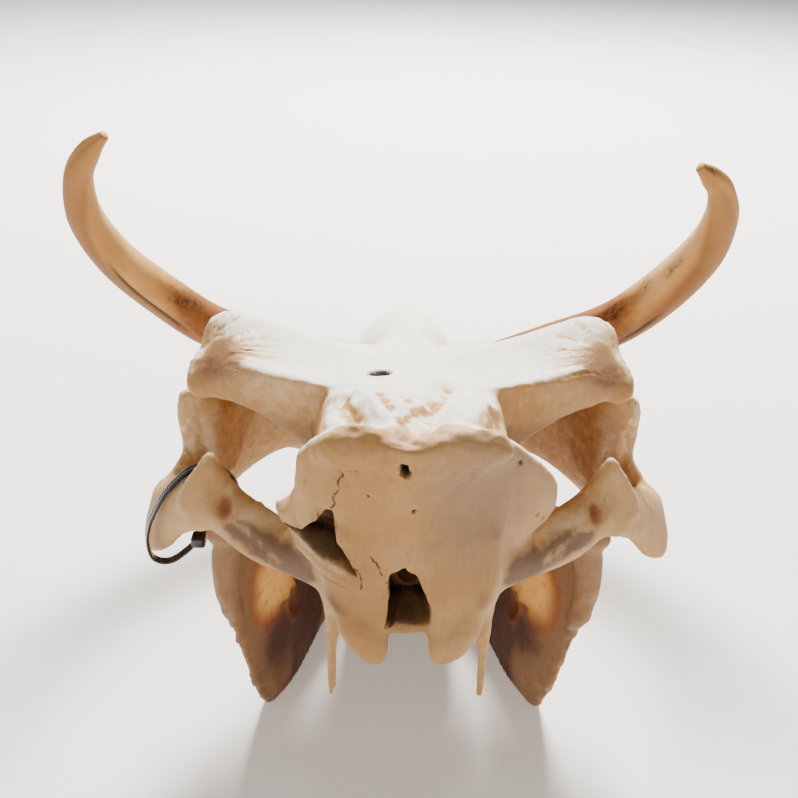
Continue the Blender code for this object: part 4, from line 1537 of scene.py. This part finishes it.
@dataclass
class Strap:
    """Flat ribbed strap closed round the left arch, with its lock under the bone."""

    route: tuple[Triple, ...] = (
        (-77, 70, 5.5), (-82, 69.5, 15.5), (-89, 67.5, 19.5), (-96.5, 64.5, 19), (-103, 62.5, 14),
        (-108.5, 61, 7.5), (-112.5, 60.3, 0.5), (-116.2, 60, -8), (-118, 60, -18), (-116, 60.8, -27),
        (-108, 62.5, -29), (-96, 66, -20), (-84, 69, -8),
    )
    half_width: float = 2.1
    half_thickness: float = 0.75
    rib_pitch: float = 1.3
    rib_depth: float = 0.28
    per_span: int = 40
    lock_at: int = 11
    lock_size: Triple = (6.5, 7.5, 5.5)

    def build(self) -> Object:
        """Makes the strap and its lock as one piece.

        Formula: a rounded flat section is carried round the closed route. Its outer face is
        raised along the middle, and the raised band drops between ribs along the length.

        Returns:
            The finished piece.
        """
        route = np.array(self.route)
        over = 2 * self.per_span    # rows of the two spans that overlap at each end
        path = smooth_rows(np.vstack([route[-2:], route, route[:2]]), self.per_span)[over:-over][:-1]
        along = unit(np.roll(path, -1, 0) - np.roll(path, 1, 0))
        outward = path - path.mean(axis=0)
        outward = unit(outward - along * (outward * along).sum(axis=1, keepdims=True))
        sideways = np.cross(along, outward)
        angle = full_turn(32)
        wide = self.half_width * blunt(np.cos(angle), 0.5)
        thick = self.half_thickness * blunt(np.sin(angle), 0.5)
        band = (np.abs(wide) < self.half_width * 0.5) * (thick > 0)
        ribs = 0.5 + 0.5 * np.cos(2 * math.pi * travelled(path)[:, None] / self.rib_pitch)
        lift = thick - self.rib_depth * band * (1 - ribs)
        grid = path[:, None] + wide[None, :, None] * sideways[:, None] + lift[..., None] * outward[:, None]
        strap = grid_object("strap", grid, closed=True)
        # Painted sheen on the raised band, brightest on the ribs' crests.
        paint(strap, "rib", (band * (0.35 + 0.65 * ribs)).ravel())
        lock = self.lock(route[self.lock_at])
        paint(lock, "rib", np.zeros(len(lock.data.vertices)))
        with editing(strap.data) as joined:
            joined.from_mesh(lock.data)
        bpy.data.objects.remove(lock)
        dress(strap, "cable_tie")
        return strap

    def lock(self, centre: Array) -> Object:
        """Makes the lock: a rounded block, as half sizes times superellipse sines and cosines.

        Args:
            centre: Middle of the block in millimetres.

        Returns:
            The block's object.
        """
        rings = np.linspace(-math.pi / 2, math.pi / 2, 18)[1:-1, None]
        around = full_turn(40)[None]
        ring, tall = blunt(np.cos(rings), 0.35), blunt(np.sin(rings), 0.35)
        shape = (ring * blunt(np.cos(around), 0.35), ring * blunt(np.sin(around), 0.35), tall)
        rounded = np.stack(np.broadcast_arrays(*shape), axis=-1)
        return grid_object("lock", centre + rounded * self.lock_size / 2)


# Floor, light and camera

@dataclass
class Studio:
    """Pale floor, soft light and the camera behind and above the skull."""

    eye: Triple = (-8.71, -282.88, 246.02)
    yaw: float = -0.594
    down: float = 28.643
    roll: float = 1.194
    lens: float = 42.344
    sensor: float = 36.0
    floor_half: float = 9.0             # metres
    floor_glow: float = 0.22
    target: Triple = (0.0, 0.0, 0.12)   # where both lights point, in metres
    sun: Triple = (1.0, 0.97, 0.92)
    shade: Triple = (1.0, 0.92, 0.82)
    sky: float = 0.35

    def build(self) -> None:
        """Adds the floor, the lights and the camera."""
        self.floor()
        self.light("key", (0.2, 1.9, 2.1), 0.8, 330, self.sun)
        self.light("fill", (-0.7, -1.7, 1.2), 1.6, 8, self.shade)
        world = bpy.data.worlds.new("studio")
        world.use_nodes = True
        world.node_tree.nodes["Background"].inputs["Color"].default_value = (*self.sun, 1.0)
        world.node_tree.nodes["Background"].inputs["Strength"].default_value = self.sky
        bpy.context.scene.world = world
        self.camera()

    def floor(self) -> None:
        """Lays the floor: a wide sheet with a faint unevenness in its tone."""
        half = self.floor_half
        data = bpy.data.meshes.new("floor")
        corners = [(-half, -half, 0.0), (half, -half, 0.0), (half, half, 0.0), (-half, half, 0.0)]
        data.from_pydata(corners, [], [(0, 1, 2, 3)])
        sheet = link("floor", data)
        s = Shader("floor_paint")
        s.set(Base_Color=s.mix(s.grain(400, 2), srgb(244, 243, 240), srgb(248, 247, 245)), Roughness=0.85)
        s.set(Emission_Color=(1.0, 0.99, 0.97, 1.0), Emission_Strength=self.floor_glow)
        data.materials.append(s.material)

    def light(self, name: str, at: Triple, size: float, power: float, tint: Triple) -> None:
        """Hangs one square soft light that faces the target.

        Args:
            name: Name of the light.
            at: Where it hangs, in metres.
            size: Its edge in metres.
            power: Its power in watts.
            tint: Its colour.
        """
        data = bpy.data.lights.new(name, "AREA")
        data.size = size
        data.energy = power
        data.color = tint
        lamp = link(name, data)
        lamp.location = at
        lamp.rotation_euler = (Vector(self.target) - Vector(at)).to_track_quat("-Z", "Y").to_euler()

    def camera(self) -> None:
        """Sets the camera from its yaw, its tilt downwards and its roll, in degrees."""
        yaw, down, roll = (math.radians(v) for v in (self.yaw, self.down, self.roll))
        forward = Vector((-math.sin(yaw) * math.cos(down), math.cos(yaw) * math.cos(down), -math.sin(down)))
        right = forward.cross(Vector((0, 0, 1))).normalized()
        up = right.cross(forward)
        turned = math.cos(roll) * right + math.sin(roll) * up
        up = -math.sin(roll) * right + math.cos(roll) * up
        data = bpy.data.cameras.new("camera")
        data.lens = self.lens
        data.sensor_width = self.sensor
        data.clip_start = 0.01
        eye = link("camera", data)
        columns = Matrix((turned, up, -forward)).transposed().to_4x4()
        eye.matrix_world = Matrix.Translation(Vector(to_world(np.array(self.eye)))) @ columns
        bpy.context.scene.camera = eye


UPPER_TUSKS = {
    Side.LEFT: (
        (42, 289, -47, 13.2), (64, 297, -40, 13.6), (96, 297, -28, 14.0), (128, 286, -12, 14.2),
        (155, 275, 14, 13.7), (177, 264, 41, 12.5), (189, 253, 71, 10.8), (188, 245, 97, 8.4),
        (178, 239, 114, 6.5), (167, 235, 124, 2.8),
    ),
    Side.RIGHT: (
        (42, 289, -47, 13.2), (64, 297, -40, 13.6), (98, 296, -26, 14.2), (136, 286, -6, 14.9),
        (163, 277, 21, 14.8), (181, 265, 52, 13.2), (185, 256, 76, 10.4), (180, 250, 95, 7.8),
        (172, 247, 104, 6.2), (164, 245, 110, 3.0),
    ),
}
LOWER_TUSK = (
    (24, 312, -107, 7.0), (31, 319, -93, 7.8), (42, 323, -76, 7.2), (57, 322, -63, 5.8),
    (71, 318, -54, 3.2), (76, 316, -51, 1.4),
)
TUSK_MARKS = {
    Side.LEFT: dict(
        groove_at=2.3, shade_at=1.6, stains=((0.47, 3.4, 0.25), (0.49, 3.1, 0.2), (0.44, 3.7, 0.25)),
    ),
    Side.RIGHT: dict(
        groove_at=0.95, groove_span=(0.42, 0.56), shade_at=2.1, pale_at=5.85, root_until=0.47, paleness=0.9,
        stains=((0.655, 6.15, 0.2), (0.69, 6.2, 0.15), (0.574, 5.7, 0.3), (0.46, 5.9, 0.5), (0.98, 3.3, 0.5)),
    ),
}
LOWER_MARKS = dict(groove_depth=0.3, main_groove=0.4, root_until=0.3)
UPPER_ROW = dict(x_rear=27, x_front=25, root=-62, crown=-81.7)
LOWER_ROW = dict(x_rear=29, x_front=26, root=-100, crown=-82.3)


def main() -> None:
    """Builds the sub-assemblies in order and reports each piece."""
    logging.basicConfig(level=logging.INFO, format="%(name)s: %(message)s")
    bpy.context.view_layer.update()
    Studio().build()
    pieces = [Cranium().build(), Mandible().build()]
    ivory = IvoryFinish().material()
    enamel = EnamelFinish().material()
    for side in Side:
        word = side.name.lower()
        tusks = [
            Tusk("upper_tusk_" + word, side, UPPER_TUSKS[side], **TUSK_MARKS[side]).build(),
            Tusk("lower_tusk_" + word, side, LOWER_TUSK, **LOWER_MARKS).build(),
        ]
        teeth = [
            CheekTeeth("upper_cheek_teeth_" + word, side, **UPPER_ROW).build(),
            CheekTeeth("lower_cheek_teeth_" + word, side, **LOWER_ROW).build(),
        ]
        for group, material in ((tusks, ivory), (teeth, enamel)):
            for piece in group:
                piece.data.materials.append(material)
        pieces += tusks + teeth
    strap = Strap().build()
    strap.data.materials.append(NylonFinish().material())
    for piece in pieces + [strap]:
        triangles = sum(len(polygon.vertices) - 2 for polygon in piece.data.polygons)
        LOG.info("%s has %d triangles", piece.name, triangles)


if __name__ == "__main__":
    main()
